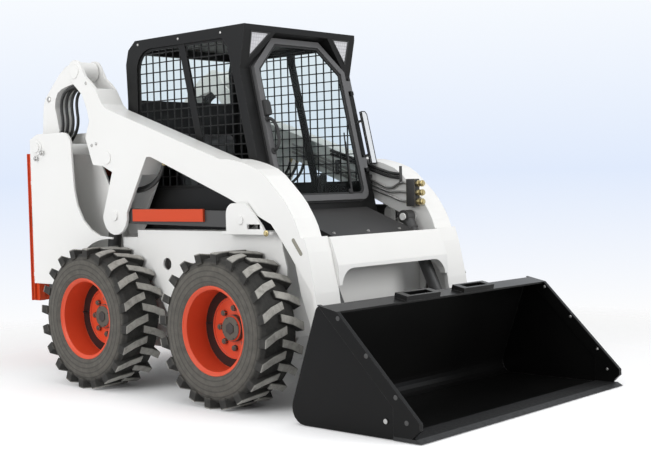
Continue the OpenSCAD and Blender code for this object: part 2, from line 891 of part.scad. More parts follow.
module attach_frame() color([0.12, 0.12, 0.13]) placed() {
  n = turn(back_dir);
  e0 = y_tilt - tilt_r - gap - ear_t;
  e1 = y_tilt + tilt_r + gap;
  both() {
    // sloping plate that carries the bucket, open where the tilt cylinder swings
    difference() {
      side(e0 - 100, leg_out + 10)
        polygon([heel + 60 * back_dir, heel + 470 * back_dir,
          heel + 470 * back_dir - 18 * n, heel + 60 * back_dir - 18 * n]);
      translate([heel[0], e0 + ear_t, heel[1] + 90])
        cube([300, e1 - e0 - ear_t, 330]);
    }
    // ears on both sides of the tilt cylinder
    for (y = [e0, e1])
      side(y, y + ear_t)
        polygon([H + [-20, -45], H + [30, -48], heel + 70 * back_dir - 15 * n,
          heel + 420 * back_dir - 15 * n, T1 + [-10, 40], T1 + [-40, 10], H + [-45, 20]]);
    // hinge pin in the arm's leg
    bar(H, hinge_r, e1, leg_out + 12);
    // pin heads of the tilt cylinder
    bar(T1, 28, e0 - 6, e0 + 2);
  }
  // tube between the two sides
  bar(heel + 200 * back_dir - 36 * n, 30, -e0, e0);
}

edge_l = 150;
edge_t = 16;
floor_z = 4;

// side view points: front of the floor, corner under the heel, front of the top lip
foot = [bucket_x - edge_l, floor_z];
heel_p = heel - back_dir * (heel[1] - floor_z) / back_dir[1];
lip = [854, bucket_h - 26];
lip_dir = unit(lip - back_top);
heel_r = 75;
top_r = 34;
cutter_t = 22;
cutter_w = 62;
proud = 6;
cheek_front = [bucket_x - 8, 90];
// outer face from the floor round the heel and the top to the lip
bucket_back = concat(fillet(foot, heel_p, back_top, heel_r), fillet(heel_p, back_top, lip, top_r),
  [lip]);

module bucket() color([0.1, 0.1, 0.1]) placed() {
  w = bucket_w / 2;
  heel_i = within(foot, heel_p, back_top, bucket_t);
  top_i = within(heel_p, back_top, lip, bucket_t);
  lip_i = lip + bucket_t * turn(lip_dir);
  foot_i = foot + [0, bucket_t];
  // shell: bottom, back and top lip
  side(-w + proud, w - proud)
    polygon(concat([foot], bucket_back, [lip_i],
      fillet(lip_i, top_i, heel_i, top_r - bucket_t),
      fillet(top_i, heel_i, foot_i, heel_r - bucket_t), [foot_i]));
  both() {
    // side plate
    side(w - proud - bucket_t, w - proud)
      polygon(concat([foot], bucket_back, [cheek_front, [bucket_x - 8, 60],
        [bucket_x - 50, floor_z + edge_t], [foot[0], floor_z + edge_t]]));
    // thick cutter along its front edge, wider at the foot
    side(w - cutter_t, w)
      side_cutter_2d();
    // step bracket on the lip
    difference() {
      side(98, 362)
        polygon([back_top + 45 * lip_dir, back_top + 121 * lip_dir,
          back_top + 121 * lip_dir - 24 * turn(lip_dir),
          back_top + 45 * lip_dir - 24 * turn(lip_dir)]);
      side(140, 320)
        polygon([back_top + 60 * lip_dir, back_top + 106 * lip_dir,
          back_top + 106 * lip_dir - 30 * turn(lip_dir),
          back_top + 60 * lip_dir - 30 * turn(lip_dir)]);
    }
  }
}

module side_cutter_2d() {
  d = unit(cheek_front - lip);
  q = lip + cutter_w * turn(d);
  // where the cutter's inner edge meets its upright foot and the back's slope
  low = meet(q, d, [foot[0], 0], [0, 1]);
  polygon([lip, meet(q, d, lip, lip_dir), low, [foot[0], floor_z + edge_t],
    [bucket_x - 50, floor_z + edge_t], [bucket_x - 8, 60], cheek_front]);
}

module cutting_edge() color([0.12, 0.12, 0.12]) placed()
  side(-bucket_w / 2, bucket_w / 2)
    polygon([[bucket_x - edge_l, floor_z], [bucket_x, floor_z],
      [bucket_x - 30, floor_z + edge_t], [bucket_x - edge_l, floor_z + edge_t]]);

main_frame();
side_plates();
fender_rails();
rear_decks();
lift_pins();
upright_left();
upright_right();
axles();
engine_block();
engine_hood();
cab_shell();
side_screen_left();
side_screen_right();
rear_window();
cab_floor();
seat();
control_levers();
headlamps();
tail_lamps();
front_step();
link_brackets();
rear_mirror();
tie_downs();
cab_door();
door_glass();
wiper();
rear_door();
rim_fl();
tyre_fl();
rim_fr();
tyre_fr();
rim_rl();
tyre_rl();
rim_rr();
tyre_rr();
lift_arm_left();
lift_arm_right();
crossmember();
hydraulic_couplers();
lower_links();
lift_arm_support();
rear_links();
lift_barrels();
lift_rods();
tilt_barrels();
tilt_rods();
attach_frame();
bucket();
cutting_edge();
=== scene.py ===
# %% [markdown]
# # Skid steer loader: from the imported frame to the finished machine
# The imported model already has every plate, tube and wheel in its right place, in metres.
# This lesson gives those pieces their paint and rubber, and adds what a drawing leaves out:
# bolts, hoses, seals, lamps with a patterned lens and a soft seat.

# %% load the frame
import math
import bpy
from mathutils import Matrix, Vector


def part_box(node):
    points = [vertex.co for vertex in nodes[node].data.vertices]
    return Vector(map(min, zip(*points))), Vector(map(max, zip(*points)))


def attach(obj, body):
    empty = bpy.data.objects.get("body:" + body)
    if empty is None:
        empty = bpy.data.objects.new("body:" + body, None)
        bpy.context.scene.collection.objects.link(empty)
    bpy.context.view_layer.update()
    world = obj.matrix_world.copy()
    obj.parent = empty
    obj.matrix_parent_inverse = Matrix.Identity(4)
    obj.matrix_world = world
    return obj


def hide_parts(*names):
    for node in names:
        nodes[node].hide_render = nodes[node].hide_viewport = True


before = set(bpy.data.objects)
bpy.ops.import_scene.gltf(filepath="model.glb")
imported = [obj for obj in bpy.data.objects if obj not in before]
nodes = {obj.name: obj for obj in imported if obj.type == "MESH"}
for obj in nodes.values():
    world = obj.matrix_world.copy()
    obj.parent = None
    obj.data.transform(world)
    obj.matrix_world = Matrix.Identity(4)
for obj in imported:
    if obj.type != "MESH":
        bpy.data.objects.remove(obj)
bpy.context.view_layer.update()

# %% [markdown]
# ## Camera
# The photograph was taken from the right front corner, a little above the seat.
# Three unit vectors give the way it looks; they become the columns of the turn matrix,
# which is safer than guessing three angles.

# %% camera
camera_place = (4.5588, -4.7192, 1.1053)
look_right = Vector((0.74118, 0.67086, -0.02441))
look_down = Vector((0.01173, -0.04930, -0.99872))
look_ahead = Vector((-0.67120, 0.73994, -0.04441))
bpy.ops.object.camera_add(location=camera_place)
camera = bpy.context.object
camera.rotation_euler = Matrix((look_right, -look_down, -look_ahead)).transposed().to_euler()
camera.data.sensor_fit = "HORIZONTAL"
camera.data.sensor_width = 36.0
camera.data.lens = 65.34
bpy.context.scene.camera = camera
bpy.context.scene.view_settings.view_transform = "Standard"
print("camera lens", camera.data.lens)

# %% [markdown]
# ## Small helpers for node materials
# Every finish starts from the Principled shader. A helper adds a node and joins it by
# socket name, so that each recipe below reads as a short list of what is on the surface.

# %% material helpers
def new_finish(name, colour, rough, metal=0.0, spec=0.5):
    material = bpy.data.materials.new(name)
    material.use_nodes = True
    tree = material.node_tree
    shader = tree.nodes["Principled BSDF"]
    shader.inputs["Base Color"].default_value = (*colour, 1.0)
    shader.inputs["Roughness"].default_value = rough
    shader.inputs["Metallic"].default_value = metal
    shader.inputs["Specular IOR Level"].default_value = spec
    return material, tree, shader


def put(tree, kind, **values):
    node = tree.nodes.new("ShaderNode" + kind)
    for key, value in values.items():
        if key in node.inputs:
            node.inputs[key].default_value = value
        else:
            setattr(node, key, value)
    return node


def wire(tree, source, out, target, into):
    tree.links.new(source.outputs[out], target.inputs[into])


def grain(tree, scale, detail=4.0, roughness=0.6):
    place = put(tree, "TexCoord")
    noise = put(tree, "TexNoise", Scale=scale, Detail=detail, Roughness=roughness)
    wire(tree, place, "Object", noise, "Vector")
    return noise


def spread(tree, source, out, low, high, to_low=0.0, to_high=1.0):
    ramp = put(tree, "MapRange")
    ramp.inputs["From Min"].default_value = low
    ramp.inputs["From Max"].default_value = high
    ramp.inputs["To Min"].default_value = to_low
    ramp.inputs["To Max"].default_value = to_high
    wire(tree, source, out, ramp, "Value")
    return ramp


def blend_colours(tree, share, out, first, second):
    mix = put(tree, "Mix", data_type="RGBA")
    wire(tree, share, out, mix, 0)
    for index, colour in ((6, first), (7, second)):
        if isinstance(colour, tuple):
            mix.inputs[index].default_value = (*colour, 1.0)
        else:
            tree.links.new(colour, mix.inputs[index])
    return mix.outputs[2]


def rounded(tree, radius):
    soft = put(tree, "Bevel", samples=4)
    soft.inputs["Radius"].default_value = radius
    return soft


def edge_share(tree, soft, low, high):
    flat = put(tree, "NewGeometry")
    dot = put(tree, "VectorMath", operation="DOT_PRODUCT")
    tree.links.new(flat.outputs["Normal"], dot.inputs[0])
    tree.links.new(soft.outputs["Normal"], dot.inputs[1])
    return spread(tree, dot, "Value", low, high)


def bumps(tree, shader, height, out, strength, distance, soft=None):
    bump = put(tree, "Bump", Strength=strength, Distance=distance)
    wire(tree, height, out, bump, "Height")
    if soft is not None:
        wire(tree, soft, "Normal", bump, "Normal")
    wire(tree, bump, "Normal", shader, "Normal")


# %% [markdown]
# ## Paint
# Sprayed plate has a faint orange peel, rounded edges that catch light, a little dust in
# wide soft clouds and wear where hands and boots rub. One function makes all the paints,
# so the white body, the black cab and the orange wheels share the same craft.

# %% paints
def paint(name, colour, dust, worn, rough, dust_amount=0.5, edge=0.004, peel=0.05, spec=0.5):
    material, tree, shader = new_finish(name, colour, rough, spec=spec)
    soft = rounded(tree, edge)
    clouds = grain(tree, scale=1.7, detail=2.0, roughness=0.45)
    dusty = spread(tree, clouds, "Fac", 0.38, 0.75, 0.0, dust_amount)
    rubbed = edge_share(tree, soft, 0.9995, 0.86)
    specks = grain(tree, scale=38.0, detail=3.0, roughness=0.7)
    broken = spread(tree, specks, "Fac", 0.42, 0.62)
    wear = put(tree, "Math", operation="MULTIPLY")
    wire(tree, rubbed, "Result", wear, 0)
    wire(tree, broken, "Result", wear, 1)
    base = blend_colours(tree, dusty, "Result", colour, dust)
    top = blend_colours(tree, wear, "Value", base, worn)
    tree.links.new(top, shader.inputs["Base Color"])
    shine = spread(tree, clouds, "Fac", 0.3, 0.75, rough, min(1.0, rough + 0.07))
    wire(tree, shine, "Result", shader, "Roughness")
    fine = grain(tree, scale=420.0, detail=2.0, roughness=0.5)
    bumps(tree, shader, fine, "Fac", peel, 0.002, soft)
    return material


white_paint = paint("white_paint", (0.84, 0.84, 0.825), (0.77, 0.765, 0.74), (0.88, 0.88, 0.865),
                    rough=0.30, dust_amount=0.35, peel=0.03)
cab_black = paint("cab_black", (0.0075, 0.0075, 0.0075), (0.013, 0.013, 0.0125), (0.04, 0.04, 0.039),
                  rough=0.36, edge=0.005, spec=0.18)
bucket_black = paint("bucket_black", (0.0030, 0.0030, 0.0030), (0.006, 0.0058, 0.0055),
                     (0.05, 0.049, 0.046), rough=0.27, peel=0.04, spec=0.17)
wheel_orange = paint("wheel_orange", (0.74, 0.080, 0.026), (0.58, 0.07, 0.03), (0.78, 0.16, 0.07),
                     rough=0.33, dust_amount=0.4, edge=0.003)
panel_orange = paint("panel_orange", (0.62, 0.062, 0.014), (0.54, 0.062, 0.02), (0.70, 0.12, 0.05),
                     rough=0.38, dust_amount=0.35, spec=0.3)
link_grey = paint("link_grey", (0.036, 0.036, 0.036), (0.07, 0.068, 0.064), (0.11, 0.11, 0.105),
                  rough=0.42, peel=0.08)
door_grey = paint("door_grey", (0.105, 0.105, 0.108), (0.130, 0.130, 0.128), (0.20, 0.20, 0.20),
                  rough=0.36, dust_amount=0.4, edge=0.006, spec=0.35)
step_black = paint("step_black", (0.02, 0.019, 0.019), (0.05, 0.047, 0.044), (0.10, 0.095, 0.09),
                   rough=0.52, dust_amount=0.6, edge=0.003, peel=0.3)
iron_dark = paint("iron_dark", (0.03, 0.03, 0.031), (0.06, 0.056, 0.05), (0.12, 0.11, 0.10),
                  rough=0.6, dust_amount=0.6, peel=0.4)
hub_grease = paint("hub_grease", (0.075, 0.070, 0.055), (0.13, 0.12, 0.10), (0.20, 0.19, 0.17),
                   rough=0.55, dust_amount=0.6, edge=0.003, peel=0.3)
# painted shade: a dark colour for the shade deep in the groove between the disc and the barrel
groove_painted_shade = paint("groove_painted_shade", (0.034, 0.011, 0.010), (0.05, 0.03, 0.024), (0.08, 0.03, 0.02),
                    rough=0.7, dust_amount=0.4, edge=0.002, peel=0.3, spec=0.2)
# painted shade: the olive grey of shaded white paint, for the inside of the arms' drain slots
slot_shade = paint("slot_shade", (0.27, 0.26, 0.215), (0.22, 0.21, 0.18), (0.32, 0.31, 0.28),
                   rough=0.6, edge=0.002, peel=0.1)
print("paints made")

# %% [markdown]
# ## Metal
# Chromed rods, plated couplers and plain bolts are bare metal. What tells them apart from
# paint is a sharp reflection that is broken by fine scratches, so the shader is fully
# metallic, and one cloudy grain dims its colour, its shine and its surface together.

# %% metals
def metal(name, colour, rough, scratch=0.06):
    material, tree, shader = new_finish(name, colour, rough, metal=1.0)
    clouds = grain(tree, scale=55.0, detail=5.0, roughness=0.7)
    tone = spread(tree, clouds, "Fac", 0.3, 0.8)
    dim = tuple(0.62 * c for c in colour)
    tree.links.new(blend_colours(tree, tone, "Result", colour, dim), shader.inputs["Base Color"])
    shine = spread(tree, clouds, "Fac", 0.3, 0.8, rough, rough + 0.2)
    wire(tree, shine, "Result", shader, "Roughness")
    bumps(tree, shader, clouds, "Fac", scratch, 0.001)
    return material


chrome_rod = metal("chrome_rod", (0.72, 0.73, 0.75), rough=0.10, scratch=0.02)
zinc_yellow = metal("zinc_yellow", (0.60, 0.50, 0.27), rough=0.34)
bolt_steel = metal("bolt_steel", (0.55, 0.54, 0.52), rough=0.32)
edge_steel = metal("edge_steel", (0.06, 0.06, 0.06), rough=0.42)
print("metals made")

# %% [markdown]
# ## Rubber
# Tyre rubber is dull and dark, but its lugs are scuffed grey where they meet the ground,
# and the side walls have moulded rings. All of that follows the distance from the axle,
# which a Mapping node gives without any unwrapping. Hoses and seals have no such pattern,
# so the paint recipe serves them with soft, dull values.

# %% rubber
# distances from the axle: worn tops of the lugs, start of the tread, end of the side wall
lug_wear = (0.3795, 0.3855)
tread_start = (0.322, 0.346)
wall_end = (0.325, 0.312)
ring_pitch = 0.0265


def tyre_rubber(name, axle_x, axle_z):
    material, tree, shader = new_finish(name, (0.03, 0.03, 0.03), rough=0.75, spec=0.3)
    place = put(tree, "TexCoord")
    off = put(tree, "Mapping")
    off.inputs["Location"].default_value = (-axle_x, 0.0, -axle_z)
    off.inputs["Scale"].default_value = (1.0, 0.0, 1.0)
    wire(tree, place, "Object", off, "Vector")
    far = put(tree, "VectorMath", operation="LENGTH")
    tree.links.new(off.outputs["Vector"], far.inputs[0])
    face = spread(tree, far, "Value", *lug_wear)
    clouds = grain(tree, scale=26.0, detail=6.0, roughness=0.7)
    patch = spread(tree, clouds, "Fac", 0.25, 0.6, 0.45, 1.0)
    scuff = put(tree, "Math", operation="MULTIPLY")
    wire(tree, face, "Result", scuff, 0)
    wire(tree, patch, "Result", scuff, 1)
    tone = spread(tree, clouds, "Fac", 0.3, 0.75)
    side = blend_colours(tree, tone, "Result", (0.072, 0.068, 0.060), (0.125, 0.117, 0.102))
    groove = blend_colours(tree, tone, "Result", (0.020, 0.020, 0.019), (0.046, 0.044, 0.040))
    crown = spread(tree, far, "Value", *tread_start)
    turns = put(tree, "Math", operation="MULTIPLY")
    turns.inputs[1].default_value = 2 * math.pi / ring_pitch
    wire(tree, far, "Value", turns, 0)
    wave = put(tree, "Math", operation="SINE")
    wire(tree, turns, "Value", wave, 0)
    line = spread(tree, wave, "Value", 0.55, 0.98, 0.0, 0.55)
    ringed = blend_colours(tree, line, "Result", side, (0.030, 0.029, 0.027))
    body = blend_colours(tree, crown, "Result", ringed, groove)
    top = blend_colours(tree, scuff, "Value", body, (0.40, 0.39, 0.36))
    tree.links.new(top, shader.inputs["Base Color"])
    fine = grain(tree, scale=260.0, detail=3.0, roughness=0.6)
    soft = rounded(tree, 0.005)
    wall = spread(tree, far, "Value", *wall_end, 0.0, 0.5)
    ridge = put(tree, "Math", operation="MULTIPLY_ADD")
    wire(tree, wave, "Value", ridge, 0)
    wire(tree, wall, "Result", ridge, 1)
    wire(tree, fine, "Fac", ridge, 2)
    bumps(tree, shader, ridge, "Value", 0.30, 0.002, soft)
    return material


def axle_of(tyre):
    low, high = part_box(tyre)
    return (low.x + high.x) / 2, (low.z + high.z) / 2


front_axle, rear_axle = axle_of("tyre_fr"), axle_of("tyre_rr")
front_rubber = tyre_rubber("front_tyre_rubber", *front_axle)
rear_rubber = tyre_rubber("rear_tyre_rubber", *rear_axle)
hose_rubber = paint("hose_rubber", (0.012, 0.012, 0.012), (0.03, 0.03, 0.029), (0.03, 0.03, 0.03),
                    rough=0.5, dust_amount=0.6, edge=0.001, peel=0.25)
seal_rubber = paint("seal_rubber", (0.01, 0.01, 0.01), (0.02, 0.02, 0.02), (0.02, 0.02, 0.02),
                    rough=0.6, dust_amount=0.4, edge=0.002, peel=0.1)
print("axles at", [round(v, 3) for v in front_axle + rear_axle])

# %% [markdown]
# ## Glass, lenses and mirror
# Cab glass is clear with a slight tint and a faint smear. Its bending of light is set low,
# because a thin pane hardly shifts what is seen through it. A lamp's lens is moulded in
# small squares: a brick pattern without offset gives both their tone and their relief.

# %% glass and lenses
def glass(name, tint, rough):
    material, tree, shader = new_finish(name, tint, rough)
    shader.inputs["Transmission Weight"].default_value = 1.0
    shader.inputs["IOR"].default_value = 1.12
    smear = grain(tree, scale=6.0, detail=6.0, roughness=0.7)
    haze = spread(tree, smear, "Fac", 0.45, 0.85, rough, rough + 0.05)
    wire(tree, haze, "Result", shader, "Roughness")
    return material


cab_glass = glass("cab_glass", (0.82, 0.89, 0.875), rough=0.0)


def patterned_lens(name, colour, pitch):
    material, tree, shader = new_finish(name, colour, rough=0.14)
    place = put(tree, "TexCoord")
    tiles = put(tree, "TexBrick", offset=0.0)
    tiles.inputs["Scale"].default_value = 1.0
    tiles.inputs["Brick Width"].default_value = pitch
    tiles.inputs["Row Height"].default_value = pitch
    tiles.inputs["Mortar Size"].default_value = pitch * 0.08
    tiles.inputs["Mortar Smooth"].default_value = 1.0
    tiles.inputs["Color1"].default_value = (*colour, 1.0)
    tiles.inputs["Color2"].default_value = (*[0.93 * c for c in colour], 1.0)
    tiles.inputs["Mortar"].default_value = (*[0.62 * c for c in colour], 1.0)
    turn = put(tree, "Mapping")
    turn.inputs["Rotation"].default_value = (0.0, -math.pi / 2, math.pi / 2)
    wire(tree, place, "Object", turn, "Vector")
    wire(tree, turn, "Vector", tiles, "Vector")
    wire(tree, tiles, "Color", shader, "Base Color")
    bumps(tree, shader, tiles, "Fac", 0.5, 0.003)
    return material


lamp_lens = patterned_lens("lamp_lens", (0.66, 0.66, 0.69), pitch=0.017)
tail_red = patterned_lens("tail_red", (0.42, 0.02, 0.015), pitch=0.012)
mirror_face, tree, shader = new_finish("mirror_face", (0.80, 0.81, 0.82), rough=0.08, metal=0.85)
bumps(tree, shader, grain(tree, scale=30.0), "Fac", 0.02, 0.001)
print("glass, lenses and mirror made")

# %% [markdown]
# ## Vinyl
# The seat's cover is a black plastic skin with a leather-like grain. Voronoi cells make the
# grain, and a wide soft noise shows where it has been sat on.

# %% seat vinyl
def vinyl(name, colour):
    material, tree, shader = new_finish(name, colour, rough=0.48)
    cells = put(tree, "TexVoronoi", Scale=330.0)
    place = put(tree, "TexCoord")
    wire(tree, place, "Object", cells, "Vector")
    rub = grain(tree, scale=7.0, detail=5.0, roughness=0.6)
    share = spread(tree, rub, "Fac", 0.4, 0.8)
    lighter = tuple(2.2 * c for c in colour)
    tree.links.new(blend_colours(tree, share, "Result", colour, lighter), shader.inputs["Base Color"])
    bumps(tree, shader, cells, "Distance", 0.35, 0.0015)
    return material


seat_vinyl = vinyl("seat_vinyl", (0.016, 0.016, 0.017))
print("vinyl made")

# %% [markdown]
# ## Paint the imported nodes
# A node whose shape is right keeps its mesh and only changes its slot. One list for each
# finish shows at a glance what is white, black or orange on the machine.

# %% dress the nodes
finishes = {
    "white": (white_paint, ["main_frame", "side_plates", "fender_rails", "rear_decks", "lift_pins",
                            "upright_left", "upright_right", "link_brackets",
                            "lift_arm_left", "lift_arm_right", "crossmember", "rear_links"]),
    "black": (cab_black, ["cab_shell", "engine_hood", "side_screen_left", "side_screen_right",
                          "wiper", "control_levers", "seat"]),
    "bucket": (bucket_black, ["bucket", "attach_frame"]),
    "edge": (edge_steel, ["cutting_edge"]),
    "wheels": (wheel_orange, ["rim_fl", "rim_fr", "rim_rl", "rim_rr"]),
    "front rubber": (front_rubber, ["tyre_fl", "tyre_fr"]),
    "rear rubber": (rear_rubber, ["tyre_rl", "tyre_rr"]),
    "orange": (panel_orange, ["rear_door", "lift_arm_support"]),
    "grey": (link_grey, ["lower_links", "lift_barrels", "tilt_barrels", "tie_downs"]),
    "iron": (iron_dark, ["axles", "engine_block", "cab_floor"]),
    "door": (door_grey, ["cab_door"]),
    "step": (step_black, ["front_step"]),
    "chrome": (chrome_rod, ["lift_rods", "tilt_rods"]),
    "zinc": (zinc_yellow, ["hydraulic_couplers"]),
    "glass": (cab_glass, ["door_glass", "rear_window"]),
    "lens": (lamp_lens, ["headlamps"]),
    "red": (tail_red, ["tail_lamps"]),
    "mirror": (mirror_face, ["rear_mirror"]),
}
for material, names in finishes.values():
    for name in names:
        nodes[name].data.materials.clear()
        nodes[name].data.materials.append(material)
dressed = sum(len(names) for material, names in finishes.values())
print("dressed", dressed, "of", len(nodes), "nodes")

# %% [markdown]
# ## A maker's bench
# Everything below is modelled as by hand: a primitive is added, shaped in edit mode and then
# settled. Places are given in millimetres from the front axle, as they would be measured on
# the machine with a tape, and `at` turns them into the frame's metres. A piece's own small
# sizes, such as a bolt's radius, are in metres from the start.

# %% bench helpers
axle_x = front_axle[0]


def at(x, y, z):
    return Vector((axle_x + x / 1000, y / 1000, z / 1000))


def clear():
    bpy.ops.object.select_all(action="DESELECT")


def choose(pieces):
    clear()
    for piece in pieces:
        piece.select_set(True)
    bpy.context.view_layer.objects.active = pieces[0]


def merge(pieces):
    choose(pieces)
    if len(pieces) > 1:
        bpy.ops.object.join()
    return bpy.context.object


def discard(piece):
    choose([piece])
    bpy.ops.object.delete()


def tidy_faces(weld=0.00002):
    bpy.ops.mesh.select_all(action="SELECT")
    bpy.ops.mesh.remove_doubles(threshold=weld)
    bpy.ops.mesh.normals_make_consistent(inside=False)
    bpy.ops.object.mode_set(mode="OBJECT")


def settle(pieces, name, material, body, smooth_below=math.radians(38)):
    """Join the pieces into one finished piece with its name, finish and body."""
    piece = merge(pieces)
    bpy.ops.object.transform_apply(location=True, rotation=True, scale=True)
    piece.name = name
    piece.data.materials.clear()
    piece.data.materials.append(material)
    bpy.ops.object.shade_smooth_by_angle(angle=smooth_below)
    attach(piece, body)
    return piece


# %% turned and flat shapes
def turned(steps, sides=24):
    """A lathe shape from (radius, height) steps, standing on the origin."""
    clear()
    radius, height = steps[0]
    bpy.ops.mesh.primitive_circle_add(vertices=sides, radius=radius, fill_type="NGON",
                                      location=(0, 0, height))
    bpy.ops.object.mode_set(mode="EDIT")
    for next_radius, next_height in steps[1:]:
        rise = (0, 0, next_height - height)
        bpy.ops.mesh.extrude_region_move(TRANSFORM_OT_translate={"value": rise})
        share = next_radius / radius
        bpy.ops.transform.resize(value=(share, share, 1))
        radius, height = next_radius, next_height
    tidy_faces()
    bpy.ops.object.transform_apply(location=True, rotation=True, scale=True)
    return bpy.context.object


def outline_ring(points, fill):
    clear()
    bpy.ops.mesh.primitive_circle_add(vertices=len(points), radius=1.0, fill_type=fill)
    ring = bpy.context.object
    for vertex, (across, up) in zip(ring.data.vertices, points):
        vertex.co = (across, up, 0)
    return ring


def plate(points, thick, bevel=0.0):
    """A flat plate with the given outline, from height 0 to its thickness."""
    piece = outline_ring(points, "NGON")
    bpy.ops.object.mode_set(mode="EDIT")
    bpy.ops.mesh.select_all(action="SELECT")
    bpy.ops.mesh.extrude_region_move(TRANSFORM_OT_translate={"value": (0, 0, thick)})
    tidy_faces()
    if bevel:
        soften(piece, bevel)
    return piece


def band(outer, inner, thick, bevel=0.0):
    """A flat frame between two outlines with as many points each."""
    piece = merge([outline_ring(outer, "NOTHING"), outline_ring(inner, "NOTHING")])
    bpy.ops.object.mode_set(mode="EDIT")
    bpy.ops.mesh.select_all(action="SELECT")
    bpy.ops.mesh.bridge_edge_loops()
    bpy.ops.mesh.select_all(action="SELECT")
    bpy.ops.mesh.extrude_region_move(TRANSFORM_OT_translate={"value": (0, 0, thick)})
    tidy_faces()
    if bevel:
        soften(piece, bevel)
    return piece


def cone_ring(outer, inner, drop, thick, sides=64):
    """A dished ring, whose inner edge lies deeper than its outer edge."""
    clear()
    bpy.ops.mesh.primitive_circle_add(vertices=sides, radius=outer, fill_type="NOTHING")
    bpy.ops.object.mode_set(mode="EDIT")
    bpy.ops.mesh.select_all(action="SELECT")
    bpy.ops.mesh.extrude_region_move(TRANSFORM_OT_translate={"value": (0, 0, -drop)})
    bpy.ops.transform.resize(value=(inner / outer, inner / outer, 1))
    bpy.ops.mesh.select_all(action="SELECT")
    bpy.ops.mesh.extrude_region_move(TRANSFORM_OT_translate={"value": (0, 0, thick)})
    tidy_faces()
    return bpy.context.object


# %% blocks and tubes
def soften(piece, width, segments=2):
    choose([piece])
    edge = piece.modifiers.new("edge", "BEVEL")
    edge.width = width
    edge.segments = segments
    edge.limit_method = "ANGLE"
    bpy.ops.object.modifier_apply(modifier="edge")


def block(low, high, bevel):
    clear()
    bpy.ops.mesh.primitive_cube_add(size=1.0, location=(low + high) / 2)
    piece = bpy.context.object
    piece.scale = high - low
    bpy.ops.object.transform_apply(location=True, rotation=True, scale=True)
    soften(piece, bevel)
    return piece


def pipe(points, radius):
    """A bent tube through the points, as a curve of one open spline."""
    clear()
    bpy.ops.curve.primitive_bezier_curve_add()
    piece = bpy.context.object
    spline = piece.data.splines[0]
    spline.bezier_points.add(len(points) - 2)
    for knot, place in zip(spline.bezier_points, points):
        knot.co = place
        knot.handle_left_type = knot.handle_right_type = "AUTO"
    piece.location = (0, 0, 0)
    piece.data.bevel_depth = radius
    piece.data.bevel_resolution = 4
    piece.data.resolution_u = 10
    piece.data.use_fill_caps = True
    return piece


def pipe_mesh(points, radius):
    pipe(points, radius)
    bpy.ops.object.convert(target="MESH")
    return bpy.context.object


def circle_points(radius, sides=32):
    turns = [2 * math.pi * k / sides for k in range(sides)]
    return [(radius * math.cos(t), radius * math.sin(t)) for t in turns]


# %% laying pieces in place
def lay(piece, matrix):
    piece.data.transform(matrix)
    return piece


def facing(place, direction):
    return Matrix.Translation(place) @ Vector(direction).to_track_quat("Z", "Y").to_matrix().to_4x4()


def stamped(pattern, spots):
    """Copies of a pattern, one for each place and the way it looks."""
    made = []
    for place, direction in spots:
        choose([pattern])
        bpy.ops.object.duplicate()
        made.append(lay(bpy.context.object, facing(place, direction)))
    return made


# %% [markdown]
# ## Bolts and pins
# A bolt is a round washer under a six-sided head. It is modelled once for each size, and a
# copy is turned to the normal of every plate that it holds. Copies on one body are joined.

# %% bolt patterns
def hex_bolt(radius, height):
    washer = turned([(1.5 * radius, 0), (1.5 * radius, 0.22 * height), (1.38 * radius, 0.3 * height)])
    head = turned([(radius, 0.3 * height), (radius, 0.9 * height), (0.86 * radius, height)], 6)
    return merge([washer, head])


def both_sides(x, y, z, direction=(0, 1, 0)):
    away = Vector(direction)
    return [(at(x, y, z), away), (at(x, -y, z), Vector((away.x, -away.y, away.z)))]


def outer_face(node):
    """How far a node's outside lies from the middle of the machine."""
    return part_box(node)[1].y * 1000


small_bolt = hex_bolt(0.0065, 0.006)
large_bolt = hex_bolt(0.0105, 0.010)
roof_bolt = hex_bolt(0.0045, 0.004)
print("bolts modelled in three sizes")

# %% bolts on cab, arms, towers and step
roof_line = 1905
roof_spots = []
for x in (-985, -640, -300):
    roof_spots += both_sides(x, outer_face("cab_shell"), roof_line)
settle(stamped(roof_bolt, roof_spots), "roof_edge_bolts", bolt_steel, "chassis")

arm_face = 612.0
arm_spots = []
for x, z in ((-1204, 1345), (-1163, 1353), (-1240, 1700)):
    arm_spots += both_sides(x, arm_face, z)
settle(stamped(small_bolt, arm_spots), "arm_side_bolts", bolt_steel, "lift_arms")

upright_face = outer_face("upright_left")
upright_spots = both_sides(-1700, upright_face, 1286) + both_sides(-1640, upright_face, 1318)
settle(stamped(large_bolt, upright_spots), "upright_pin_bolts", bolt_steel, "chassis")

bracket_spots = both_sides(206, outer_face("link_brackets"), 861)
settle(stamped(large_bolt, bracket_spots), "bracket_bolts", zinc_yellow, "chassis")

ahead = Vector((1, 0, 0))
step_normal = Vector((0.349, 0, 0.937))
step_spots = [(at(340, y, 846.5), step_normal) for y in (-290, -22, 237)]
step_spots.append((at(30, 105, 925), ahead))
settle(stamped(small_bolt, step_spots), "step_bolts", bolt_steel, "chassis")
print("bolts set on cab, arms, towers and step")

# %% bolts of the bucket's side cutters
cutter_holes = ((862, 505), (1020, 352), (1178, 188), (1235, 86))
heel_hole = (1120, 80)
cutter_thick = 22.0
bucket_half = outer_face("bucket")
nut = turned([(0.0075, 0), (0.0075, 0.006), (0.006, 0.0075)], 6)
flush = turned([(0.011, -0.004), (0.011, 0.00005)], 24)
nut_spots, flush_spots = [], []
for x, z in cutter_holes:
    nut_spots += both_sides(x, bucket_half - cutter_thick, z, (0, -1, 0))
    flush_spots += both_sides(x, bucket_half, z)
heel_spots = both_sides(heel_hole[0], bucket_half, heel_hole[1])
settle(stamped(nut, nut_spots), "cutter_nuts", bolt_steel, "coupler_and_bucket")
settle(stamped(flush, flush_spots), "cutter_bolts", link_grey, "coupler_and_bucket")
settle(stamped(flush, heel_spots), "heel_bolts", bolt_steel, "coupler_and_bucket")
for pattern in (small_bolt, large_bolt, roof_bolt, nut, flush):
    discard(pattern)
print("bucket bolts set")
